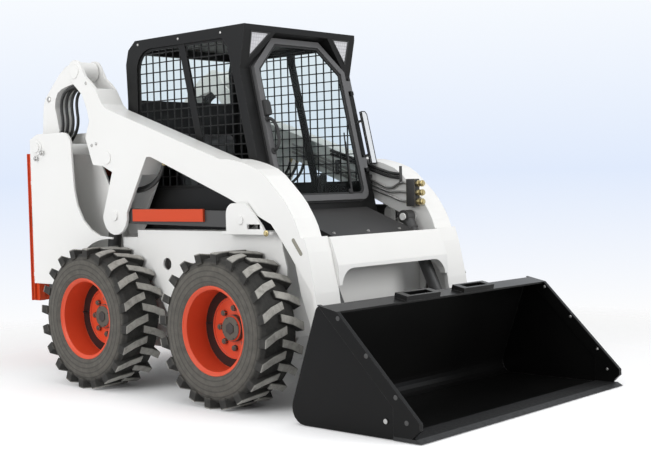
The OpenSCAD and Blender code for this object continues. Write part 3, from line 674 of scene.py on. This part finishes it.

# %% [markdown]
# ## Wheels
# The frame's rims are a barrel, a dished disc and eight plain nuts. A real hub also has a
# greasy cover with a cap and four screws, stud ends that stand out of the nuts, a lip round
# the disc, a rolled ring at the tyre's bead and a valve stem, which tells one turn of the
# wheel from the next. A dark ring in the groove round the disc is painted shade. Each is
# shaped once, as on a lathe, and stamped on all four wheels. Every set belongs to one wheel
# and turns with it.

# %% wheel patterns
hub_cover = turned([(0.0672, 0), (0.0672, 0.0268), (0.0595, 0.0285), (0.0595, 0.0368),
                    (0.048, 0.0385)], 40)
hub_cap = turned([(0.030, 0), (0.030, 0.005), (0.022, 0.007), (0.008, 0.0075)], 6)
nut_cap = turned([(0.0158, 0), (0.0158, 0.0172), (0.0125, 0.0192), (0.0085, 0.0192), (0.0085, 0.0235)], 6)
cap_screw = turned([(0.0045, 0), (0.0045, 0.003), (0.003, 0.004)], 6)
valve = turned([(0.007, 0), (0.007, 0.010), (0.004, 0.012), (0.004, 0.030), (0.0052, 0.031),
                (0.0052, 0.041), (0.003, 0.043)], 16)
bead = band(circle_points(0.2235, 64), circle_points(0.2165, 64), 0.004, 0.0012)
disc_lip = band(circle_points(0.158, 64), circle_points(0.150, 64), 0.007, 0.002)
# a thin ring laid in the groove between disc and barrel, to carry the painted shade
groove = cone_ring(0.2022, 0.157, 0.0111, 0.0008)
print("wheel patterns turned")

# %% wheel trim
wheel_middle = 706.0
axle_height = front_axle[1] * 1000
rear_x = (rear_axle[0] - front_axle[0]) * 1000
screw_circle, nut_circle, valve_circle = 54, 101, 172
quarter, eighth = math.pi / 2, math.pi / 4
screw_turns = [k * quarter + 0.4 for k in range(4)]
nut_turns = [k * eighth for k in range(8)]
valve_turn = 3.05
# where each piece's foot lies, outward from the middle of the tyre's width
disc_out, lip_out, groove_out, bead_out = -39.8, -39.5, -26.4, 114.5
cap_out, screw_out, valve_out = -2, -4, -42


def on_wheel(x, side, outward, radius=0.0, turn=0.0):
    up = axle_height + radius * math.sin(turn)
    place = at(x + radius * math.cos(turn), side * (wheel_middle + outward), up)
    return place, Vector((0, side, 0))


for wheel, x in (("fl", 0), ("fr", 0), ("rl", rear_x), ("rr", rear_x)):
    side = 1 if wheel.endswith("l") else -1
    body = "wheel_" + wheel
    covers = stamped(hub_cover, [on_wheel(x, side, disc_out)])
    settle(covers, "hub_cover_" + wheel, hub_grease, body)
    caps = stamped(hub_cap, [on_wheel(x, side, cap_out)])
    screws = stamped(cap_screw, [on_wheel(x, side, screw_out, screw_circle, t) for t in screw_turns])
    settle(caps + screws, "hub_cap_" + wheel, iron_dark, body)
    nuts = stamped(nut_cap, [on_wheel(x, side, disc_out, nut_circle, t) for t in nut_turns])
    settle(nuts, "wheel_nuts_" + wheel, hub_grease, body)
    stems = stamped(valve, [on_wheel(x, side, valve_out, valve_circle, valve_turn)])
    settle(stems, "valve_stem_" + wheel, seal_rubber, body)
    # the groove's dark ring is painted shade, not a part of the wheel
    grooves = stamped(groove, [on_wheel(x, side, groove_out)])
    settle(grooves, "rim_groove_shade_" + wheel, groove_painted_shade, body)
    rings = stamped(bead, [on_wheel(x, side, bead_out)])
    rings += stamped(disc_lip, [on_wheel(x, side, lip_out)])
    settle(rings, "bead_ring_" + wheel, wheel_orange, body)
for pattern in (hub_cover, hub_cap, nut_cap, cap_screw, valve, bead, disc_lip, groove):
    discard(pattern)
print("wheels trimmed")

# %% [markdown]
# ## Door seal and glass gasket
# The front leans back by 13.4 degrees. Rubber runs round the door's opening and round its
# glass, in a six-sided loop with two round corners. A loop is easiest to draw flat, across
# and up, so one matrix lays each flat drawing on the slanted face, and a distance says how
# far out from that face it starts.

# %% the slanted front
door_lean = math.radians(13.4)
tip, stand = math.sin(door_lean), math.cos(door_lean)
sill = at(12, 0, 985)
front_face = Matrix(((0, -tip, stand, sill.x), (1, 0, 0, 0), (0, stand, tip, sill.z), (0, 0, 0, 1)))
front_out = Vector((stand, 0, tip))


def on_front(across, up, out):
    return front_face @ Vector((across / 1000, up / 1000, out / 1000))


def lay_front(piece, out, across=0, up=0):
    return lay(piece, front_face @ Matrix.Translation((across / 1000, up / 1000, out / 1000)))


def corner(centre, radius, start, steps=6):
    angles = [math.radians(start + 90 * k / steps) for k in range(steps + 1)]
    return [(centre[0] + radius * math.cos(a), centre[1] + radius * math.sin(a)) for a in angles]


def six_sided(half, low, high, cut, radius):
    shoulder = high - 0.95 * cut
    points = corner((-half + radius, low + radius), radius, 180)
    points += corner((half - radius, low + radius), radius, 270)
    points += [(half, shoulder), (half - cut, high), (-half + cut, high), (-half, shoulder)]
    return [(a / 1000, b / 1000) for a, b in points]


# %% door seal and glass gasket
door_top = 923.0
seal_foot, glass_face, frame_face = -6, 20.5, 32
seal_outer = six_sided(364, 7, door_top - 1, 178, 59)
seal_inner = six_sided(334, 37, door_top - 31, 161, 40)
seal = lay_front(band(seal_outer, seal_inner, 0.011), seal_foot)
settle([seal], "door_seal", seal_rubber, "chassis")
rim_outer = six_sided(326.5, 44, door_top - 38, 156, 38)
rim_inner = six_sided(312, 58, door_top - 52, 148, 28)
rim = lay_front(band(rim_outer, rim_inner, 0.005, 0.0015), glass_face)
settle([rim], "glass_gasket", seal_rubber, "door")
print("seal and gasket laid on the front")

# %% [markdown]
# ## Handle, wiper and mirror
# A bent bar with two feet pulls the door open, over a latch case. The wiper is a spindle, a
# tapered arm, a yoke and a blade, each a thin plate drawn along a line. It takes the place
# of the frame's plain bar. The mirror's glass is a node already, so it only gets a rim and
# a back.

# %% door handle
grip_foot, grip_head = (-338, 288), (-338, 462)
grip_path = [(*grip_foot, 30), (-336, 296, 56), (-326, 330, 72), (-322, 375, 74), (-326, 420, 72),
             (-336, 454, 56), (*grip_head, 30)]
grip = pipe_mesh([on_front(*place) for place in grip_path], 0.009)
foot = turned([(0.018, 0), (0.018, 0.003), (0.013, 0.007)], 20)
feet = stamped(foot, [(on_front(*end, frame_face), front_out) for end in (grip_foot, grip_head)])
discard(foot)
latch_outline = [(-0.355, 0.478), (-0.318, 0.478), (-0.312, 0.492), (-0.312, 0.545), (-0.322, 0.56),
                 (-0.355, 0.56)]
latch = lay_front(plate(latch_outline, 0.022, 0.003), frame_face)
settle([grip, latch] + feet, "door_handle", seal_rubber, "door")
print("door handle fitted")


# %% wiper
def across_line(start, end, width, low, high):
    start, end = Vector(start), Vector(end)
    along = (end - start).normalized()
    side = Vector((-along.y, along.x)) * width / 2
    corners = [start - side, end - side * 0.6, end + side * 0.6, start + side]
    strip = plate([(p.x / 1000, p.y / 1000) for p in corners], (high - low) / 1000, 0.0015)
    return lay_front(strip, low)


pivot, arm_end = (211, 60), (238, 262)
yoke_start, yoke_end = (228, 190), (250, 345)
blade_start, blade_end = (218, 112), (257, 398)
spindle_foot = 20.2
spindle = turned([(0.017, 0), (0.017, 0.010), (0.013, 0.014), (0.007, 0.018)])
lay_front(spindle, spindle_foot, *pivot)
wiper_arm = across_line(pivot, arm_end, 14, 31, 37)
yoke = across_line(yoke_start, yoke_end, 9, 27, 33)
blade = across_line(blade_start, blade_end, 7, glass_face, 29)
wiper = settle([spindle, wiper_arm, yoke, blade], "door_wiper", seal_rubber, "door")
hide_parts("wiper")
print("wiper fitted")

# %% mirror frame
rim_foot, back_foot = 50.5, 37.5
frame_outer = [(0.407, 0.211), (0.455, 0.211), (0.455, 0.501), (0.441, 0.519), (0.407, 0.519)]
frame_inner = [(0.4125, 0.2165), (0.4495, 0.2165), (0.4495, 0.499), (0.438, 0.5135), (0.4125, 0.5135)]
mirror_rim = lay_front(band(frame_outer, frame_inner, 0.005, 0.001), rim_foot)
mirror_back = lay_front(plate(frame_outer, 0.006, 0.002), back_foot)
settle([mirror_rim, mirror_back], "mirror_frame", seal_rubber, "chassis")
print("door dressed")

# %% [markdown]
# ## Hydraulic lines
# On the inside of the left arm steel lines run forward along the beam to a valve block, and
# yellow zinc couplers face forward from it. The lines are held by the arm, so they are bent
# tubes of mesh that ride on it. The couplers' collars are rings with softened edges.

# %% steel lines and couplers
line_y, coupler_y = 449.0, 434.0
line_pitch = 24
port_heights = (985, 1035, 1085)
lines = []
for k, end_z in enumerate(port_heights):
    shift = line_pitch * k
    route = [(-640, 1292 + shift), (-400, 1202 + shift), (-160, 1113 + shift), (20, 1046 + shift),
             (120, 1016 + shift), (190, end_z + 6), (250, end_z)]
    lines.append(pipe_mesh([at(x, line_y, z) for x, z in route], 0.0075))
settle(lines, "arm_steel_lines", bolt_steel, "lift_arms")
collar = band(circle_points(0.0175), circle_points(0.0121), 0.014, 0.002)
flange = turned([(0.019, 0), (0.019, 0.010), (0.016, 0.012)], 6)
fittings = []
for z in port_heights:
    fittings += stamped(collar, [(at(318, coupler_y, z), ahead), (at(341, coupler_y, z), ahead)])
    fittings += stamped(flange, [(at(238, line_y, z), ahead)])
settle(fittings, "coupler_collars", zinc_yellow, "lift_arms")
for pattern in (collar, flange):
    discard(pattern)
cover = block(at(249, 415, 959), at(311, 459.5, 1111), 0.004)
guard = block(at(184, 440, 1083), at(191, 459.5, 1184), 0.002)
settle([cover, guard], "valve_block_cover", iron_dark, "lift_arms")
print("steel lines and couplers laid")

# %% hoses and clamps on the arm
arm_route = [(-330, 1268), (-180, 1222), (-60, 1182), (40, 1148), (110, 1128), (184, 1118)]
arm_hose_pitch = 21
arm_hoses = []
for shift in (0, arm_hose_pitch):
    arm_hoses.append(pipe_mesh([at(x, line_y - 1, z + shift) for x, z in arm_route], 0.009))
settle(arm_hoses, "arm_hoses", hose_rubber, "lift_arms")

union_nut = turned([(0.013, 0), (0.013, 0.018), (0.010, 0.022), (0.010, 0.030)], 6)
window_ports = ((-700, 500, 1262), (-672, 528, 1256), (-640, 552, 1246))
port_way = Vector((-0.35, 0, -1))
hose_drop = ((-9, -26), (-36, -78), (-92, -128), (-168, -158), (-240, -170))
window_spots, window_routes = [], []
for side in (1, -1):
    for x, y, z in window_ports:
        window_spots.append((at(x, side * y, z), port_way))
        window_routes.append([at(x + back, side * y, z + down) for back, down in hose_drop])
settle(stamped(union_nut, window_spots), "window_fittings", zinc_yellow, "lift_arms")
discard(union_nut)
window_hoses = [pipe_mesh(route, 0.0085) for route in window_routes]
settle(window_hoses, "window_hoses", hose_rubber, "lift_arms")

clamps = []
for x, z in ((-520, 1270), (-280, 1182), (-40, 1092)):
    clamps.append(block(at(x - 14, 440, z - 34), at(x + 14, 460, z + 50), 0.003))
settle(clamps, "line_clamps", iron_dark, "lift_arms")
print("hoses clamped to the arm")

# %% [markdown]
# ## Cylinder glands
# A rod comes out of its barrel through a thick screwed ring, and a thinner ring closes the
# other end. Both are flat bands, turned to the line from one pin to the other.

# %% cylinder glands
def ring_on(path, share, y, radius, bore, length):
    start, end = Vector(path[0]), Vector(path[1])
    along = end - start
    spot = start + along * share
    way = Vector((along.x, 0, along.y)).normalized()
    ring = band(circle_points(radius), circle_points(bore), length, 0.002)
    return lay(ring, facing(at(spot.x, y, spot.y), way))


tilt_line = ((262, 905), (552.5, 298.2))
tilt_y, tilt_radius = 402.0, 0.034
gland_bore = tilt_radius - 0.0005
glands = []
for share, wall, length in ((0.83, 0.005, 0.022), (0.10, 0.003, 0.012)):
    for side in (1, -1):
        glands.append(ring_on(tilt_line, share, side * tilt_y, tilt_radius + wall, gland_bore, length))
settle(glands, "tilt_glands", iron_dark, "tilt_barrel_pair")
print("glands fitted")

# %% [markdown]
# ## Hoses behind the rear link
# Black hoses come up out of each upright and turn over under the head of the rear link.
# A hose keeps its length and never bends tighter than four times its thickness, so each
# is one smooth curve. The nearer a hose lies to the machine's middle, the further it bows
# forward, by `fan` for each place in the row.

# %% rear hoses
hose_d = 0.018
fan = 14.0
hose_rows = (496, 523, 550, 577)
stagger = 2
hose_route = [(-1592, 1362), (-1563, 1392), (-1538, 1428), (-1524, 1470), (-1524, 1515), (-1532, 1560),
              (-1532, 1605), (-1512, 1648), (-1472, 1678), (-1425, 1691), (-1372, 1699)]
for side, word in ((-1, "right"), (1, "left")):
    for k, y in enumerate(hose_rows):
        jog = stagger * (k % 2)
        places = []
        for step, (x, z) in enumerate(hose_route):
            bow = fan * (3 - k) * math.sin(math.pi * step / (len(hose_route) - 1))
            places.append(at(x + bow + jog, side * y, z - jog))
        hose = pipe(places, hose_d / 2)
        hose.name = "rear_hose_%s_%d" % (word, k + 1)
        hose.data.materials.append(hose_rubber)
        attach(hose, "rear_link_pair")
print("hoses laid")

# %% [markdown]
# ## Seat and levers
# The seat is a vinyl cushion and a back on a sprung box. Foam under a cover bulges where
# nothing holds it, so each pad starts slightly too small, is wrapped in a fine net and is
# blown up as cloth. The levers stand in rubber bellows beside the knees.

# %% pads
def plump(piece, voxel, reach, pressure=4.0, steps=20):
    choose([piece])
    net = piece.modifiers.new("net", "REMESH")
    net.mode = "VOXEL"
    net.voxel_size = voxel
    bpy.ops.object.modifier_apply(modifier="net")
    before = [vertex.co.copy() for vertex in piece.data.vertices]
    air = piece.modifiers.new("air", "CLOTH")
    air.settings.use_pressure = True
    air.settings.uniform_pressure_force = pressure
    air.settings.effector_weights.gravity = 0.0
    for step in range(1, steps + 1):
        bpy.context.scene.frame_set(step)
    bpy.ops.object.modifier_apply(modifier="air")
    bpy.context.scene.frame_set(1)
    for vertex, start in zip(piece.data.vertices, before):
        moved = vertex.co - start
        if moved.length > reach:
            vertex.co = start + moved * (reach / moved.length)
    skin = piece.modifiers.new("skin", "SUBSURF")
    skin.levels = skin.render_levels = 1
    bpy.ops.object.modifier_apply(modifier="skin")
    return piece


pad_net, pad_reach = 0.008, 0.010
back_lean = math.radians(-6.8)
cushion = plump(block(at(-936, -230, 904), at(-462, 230, 988), 0.030), pad_net, pad_reach)
settle([cushion], "seat_cushion", seat_vinyl, "chassis")
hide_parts("seat")
rest = block(Vector((-0.045, -0.226, 0.0)), Vector((0.045, 0.226, 0.405)), 0.034)
lay(rest, Matrix.Translation(at(-892, 0, 1012)) @ Matrix.Rotation(back_lean, 4, "Y"))
rest = plump(rest, pad_net, pad_reach)
settle([rest], "seat_back", seat_vinyl, "chassis")
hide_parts("seat")
cab_floor_top = 574
sprung_box = block(at(-950, -232, cab_floor_top), at(-512, 232, 846), 0.012)
tray = block(at(-958, -240, 850), at(-478, 240, 894), 0.010)
seat_box = settle([sprung_box, tray], "seat_box", iron_dark, "chassis")
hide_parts("seat")
print("seat padded")

# %% levers
boot_steps = [(0.050, 0), (0.052, 0.010), (0.040, 0.020), (0.043, 0.030), (0.031, 0.042), (0.034, 0.050),
              (0.018, 0.066)]
grip_steps = [(0.010, 0.05), (0.010, 0.14), (0.018, 0.15), (0.023, 0.17), (0.020, 0.20), (0.0235, 0.235),
              (0.018, 0.256), (0.006, 0.261)]
stick = merge([turned(boot_steps), turned(grip_steps)])
lever_lean = math.radians(12)
lever_way = Vector((math.sin(lever_lean), 0, math.cos(lever_lean)))
console_top = 900
consoles, sticks = [], []
for side in (1, -1):
    ends = sorted((side * 274, side * 376))
    consoles.append(block(at(-416, ends[0], cab_floor_top), at(-274, ends[1], console_top), 0.014))
    sticks += stamped(stick, [(at(-330, side * 320, console_top), lever_way)])
discard(stick)
levers = settle(consoles + sticks, "lever_consoles", seal_rubber, "chassis")
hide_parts("control_levers")
print("cab fitted out")

# %% [markdown]
# ## Lamp frames
# A black rim frames each three-sided lamp in the roof's overhang, which leans forward, and
# each upright lamp at the back. The inner edge of a rim is the outline drawn in by an even
# width, so the three sides come out equally thick.

# %% headlamp frames
brow_low, brow_high = at(-159.5, 0, 1705), at(-117, 0, 1907)
brow_up = (brow_high - brow_low).normalized()
brow_out = Vector((brow_up.z, 0, -brow_up.x))
brow_face = Matrix(((0, brow_up.x, brow_out.x, brow_low.x), (1, 0, 0, 0),
                    (0, brow_up.z, brow_out.z, brow_low.z), (0, 0, 0, 1)))
bezel_sunk = 0.002


def drawn_in(corners, depth):
    a, b, c = [Vector(p) for p in corners]
    far = ((b - c).length, (c - a).length, (a - b).length)
    middle = (a * far[0] + b * far[1] + c * far[2]) / sum(far)
    area = abs((b - a).cross(c - a)) / 2
    share = 1 - depth * sum(far) / (2 * area)
    return [tuple((middle + (p - middle) * share) / 1000) for p in (a, b, c)]


bezels = []
for side in (1, -1):
    lens = [(side * 383, 57), (side * 388, 200.4), (side * 239, 200.4)]
    ring = band(drawn_in(lens, 0.4), drawn_in(lens, 8), 0.004, 0.001)
    bezels.append(lay(ring, brow_face @ Matrix.Translation((0, 0, -bezel_sunk))))
settle(bezels, "headlamp_frames", seal_rubber, "chassis")
print("headlamps framed")


# %% tail lamp frames
def oblong(middle, half, low, high):
    corners = ((middle - half, low), (middle + half, low), (middle + half, high), (middle - half, high))
    return [(a / 1000, b / 1000) for a, b in corners]


lamp_y = 620
lamp_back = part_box("tail_lamps")[0].x - 0.002
rear_face = Matrix(((0, 0, 1, lamp_back), (1, 0, 0, 0), (0, 1, 0, 0), (0, 0, 0, 1)))
tail_frames = []
for side in (1, -1):
    outer, inner = oblong(side * lamp_y, 17, 875, 1005), oblong(side * lamp_y, 12, 882, 998)
    tail_frames.append(lay(band(outer, inner, 0.010, 0.002), rear_face))
settle(tail_frames, "tail_lamp_frames", seal_rubber, "chassis")
print("tail lamps framed")

# %% [markdown]
# ## Small pieces
# A plug closes the pin of each rear link, and a drain slot shows in each arm. The slot is a
# thin inlay coloured in painted shade, for the slot's shaded inside, because the mesh of an
# imported node is never cut here. A screen shuts the louvres from inside, a folded edge runs
# down the tailgate, and a small bar stands on the front sill. Flat shapes are drawn as
# plates, and square ones start from a cube.

# %% plugs and drain slots
plug = turned([(0.017, 0), (0.017, 0.004), (0.013, 0.007), (0.005, 0.008)], 24)
plug_spots = both_sides(-1634, outer_face("rear_links"), 1634)
settle(stamped(plug, plug_spots), "rear_link_plugs", bolt_steel, "rear_link_pair")
discard(plug)
slot_top, slot_low, slot_r = Vector((364, 828)), Vector((412, 764)), 10.0
slot_rise = 1.6
slot_turn = math.atan2(slot_top.y - slot_low.y, slot_top.x - slot_low.x)
slot_points = []
for middle, start in ((slot_top, slot_turn - quarter), (slot_low, slot_turn + quarter)):
    for k in range(9):
        turn = start + math.pi * k / 8
        spot = middle + slot_r * Vector((math.cos(turn), math.sin(turn)))
        slot_points.append((spot.x / 1000, spot.y / 1000))
drains = []
# each inlay's colour is painted shade, standing for the shaded inside of the slot
for slot_y in (arm_face + slot_rise, -arm_face):
    arm_side = Matrix(((1, 0, 0, axle_x), (0, 0, -1, slot_y / 1000), (0, 1, 0, 0), (0, 0, 0, 1)))
    drains.append(lay(plate(slot_points, slot_rise / 1000), arm_side))
settle(drains, "arm_drain_slot_shade", slot_shade, "lift_arms")
print("plugs and drain slots set")

# %% louvre screen, tailgate edge and sill bar
door_low, door_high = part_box("rear_door")
screen_x, screen_thick, screen_margin = door_low.x + 0.037, 0.004, 0.262
screen_low = Vector((screen_x, door_low.y + screen_margin, 0.690))
screen_high = Vector((screen_x + screen_thick, door_high.y - screen_margin, 1.178))
settle([block(screen_low, screen_high, 0.001)], "louvre_screen", iron_dark, "tailgate")
# the tailgate turns about its hinge, so only the edge's thin rear leaf reaches past it
gate_back, gate_hinge = door_low.x + 0.0005, -0.616
edge_outer, edge_inner = -0.629, -0.598
edge_foot, edge_top = 0.432, 1.318
folds = []
for start, depth in ((edge_outer, 0.006), (gate_hinge, 0.0165)):
    fold_low = Vector((gate_back, start, edge_foot))
    fold_high = Vector((gate_back + depth, edge_inner, edge_top))
    folds.append(block(fold_low, fold_high, 0.002))
settle(folds, "tailgate_edge", panel_orange, "tailgate")
settle([block(at(31, 126, 872), at(41, 138, 928), 0.002)], "sill_bar", white_paint, "chassis")
print("small pieces set")

# %% [markdown]
# ## Floor, sky and light
# The scene has a white floor that melts into a pale blue haze. The floor is a wide sheet
# that fades to clear with distance. It glows a little to the camera alone, except under the
# machine, where the glow is taken away: a painted shadow, deeper than the lamps cast. The
# sky's colour follows the height of the view. Broad soft lamps stand in for a studio's
# ceiling and side panels, at a level where a colour comes out about as it was mixed.

# %% floor
# half sizes of the oval under the machine where the glow is taken away, a painted shadow
painted_shadow_half = (1.45, 0.85)
floor_glow = 0.16
clear()
bpy.ops.mesh.primitive_grid_add(x_subdivisions=8, y_subdivisions=8, size=40.0, location=(0, 0, 0))
floor = bpy.context.object
floor.name = "studio_floor"
floor_white, tree, shader = new_finish("floor_white", (0.93, 0.935, 0.945), rough=0.9, spec=0.0)
shader.inputs["Emission Color"].default_value = (1.0, 1.0, 1.0, 1.0)
rays = put(tree, "LightPath")
place = put(tree, "TexCoord")
# painted shadow: the oval under the machine, inside which the floor's glow is taken away
painted_shadow_map = put(tree, "Mapping")
painted_shadow_map.inputs["Scale"].default_value = (1 / painted_shadow_half[0], 1 / painted_shadow_half[1], 0.0)
wire(tree, place, "Object", painted_shadow_map, "Vector")
inside = put(tree, "VectorMath", operation="LENGTH")
tree.links.new(painted_shadow_map.outputs["Vector"], inside.inputs[0])
# the glow is zero inside the oval and full outside it, which paints the shadow under the machine
lift = spread(tree, inside, "Value", 0.85, 1.2, 0.0, floor_glow)
glow = put(tree, "Math", operation="MULTIPLY")
wire(tree, rays, "Is Camera Ray", glow, 0)
wire(tree, lift, "Result", glow, 1)
wire(tree, glow, "Value", shader, "Emission Strength")
far = put(tree, "VectorMath", operation="LENGTH")
tree.links.new(place.outputs["Object"], far.inputs[0])
fade = spread(tree, far, "Value", 2.2, 4.2)
gone = put(tree, "BsdfTransparent")
melt = put(tree, "MixShader")
wire(tree, fade, "Result", melt, 0)
wire(tree, shader, "BSDF", melt, 1)
wire(tree, gone, "BSDF", melt, 2)
wire(tree, melt, "Shader", tree.nodes["Material Output"], "Surface")
floor.data.materials.append(floor_white)
print("floor laid")

# %% sky
world = bpy.data.worlds.new("studio_sky")
bpy.context.scene.world = world
world.use_nodes = True
tree = world.node_tree
seen = tree.nodes["Background"]
lit = put(tree, "Background", Color=(1.0, 1.0, 1.0, 1.0), Strength=0.55)
place = put(tree, "TexCoord")
split = put(tree, "SeparateXYZ")
wire(tree, place, "Generated", split, "Vector")
haze = put(tree, "ValToRGB")
rise = spread(tree, split, "Z", -0.16, 0.20)
wire(tree, rise, "Result", haze, "Fac")
stops = haze.color_ramp.elements
stops[0].position, stops[0].color = 0.12, (0.99, 0.99, 0.99, 1)
stops[1].position, stops[1].color = 0.46, (0.75, 0.83, 0.98, 1)
last = stops.new(0.86)
last.color = (0.93, 0.96, 1.0, 1)
wire(tree, haze, "Color", seen, "Color")
rays = put(tree, "LightPath")
sees = put(tree, "Math", operation="ADD", use_clamp=True)
wire(tree, rays, "Is Camera Ray", sees, 0)
wire(tree, rays, "Is Transmission Ray", sees, 1)
also = put(tree, "Math", operation="ADD", use_clamp=True)
wire(tree, sees, "Value", also, 0)
wire(tree, rays, "Is Glossy Ray", also, 1)
pick = put(tree, "MixShader")
wire(tree, also, "Value", pick, 0)
wire(tree, lit, "Background", pick, 1)
wire(tree, seen, "Background", pick, 2)
wire(tree, pick, "Shader", tree.nodes["World Output"], "Surface")
print("sky mixed")


# %% lamps
def soft_lamp(name, place, aim, size, power):
    bpy.ops.object.light_add(type="AREA", location=place)
    lamp = bpy.context.object
    lamp.name = name
    lamp.data.shape = "RECTANGLE"
    lamp.data.size, lamp.data.size_y = size
    lamp.data.energy = power
    lamp.rotation_euler = (Vector(aim) - Vector(place)).to_track_quat("-Z", "Y").to_euler()


soft_lamp("ceiling_panel", (0.6, -0.8, 5.2), (0.0, 0.0, 0.6), (5.0, 4.0), power=80)
soft_lamp("side_panel", (-1.0, -6.0, 2.6), (-0.2, 0.0, 0.8), (4.0, 2.6), power=150)
soft_lamp("front_panel", (6.0, 0.6, 2.4), (0.4, 0.0, 0.7), (3.4, 2.4), power=150)
print("studio ready")
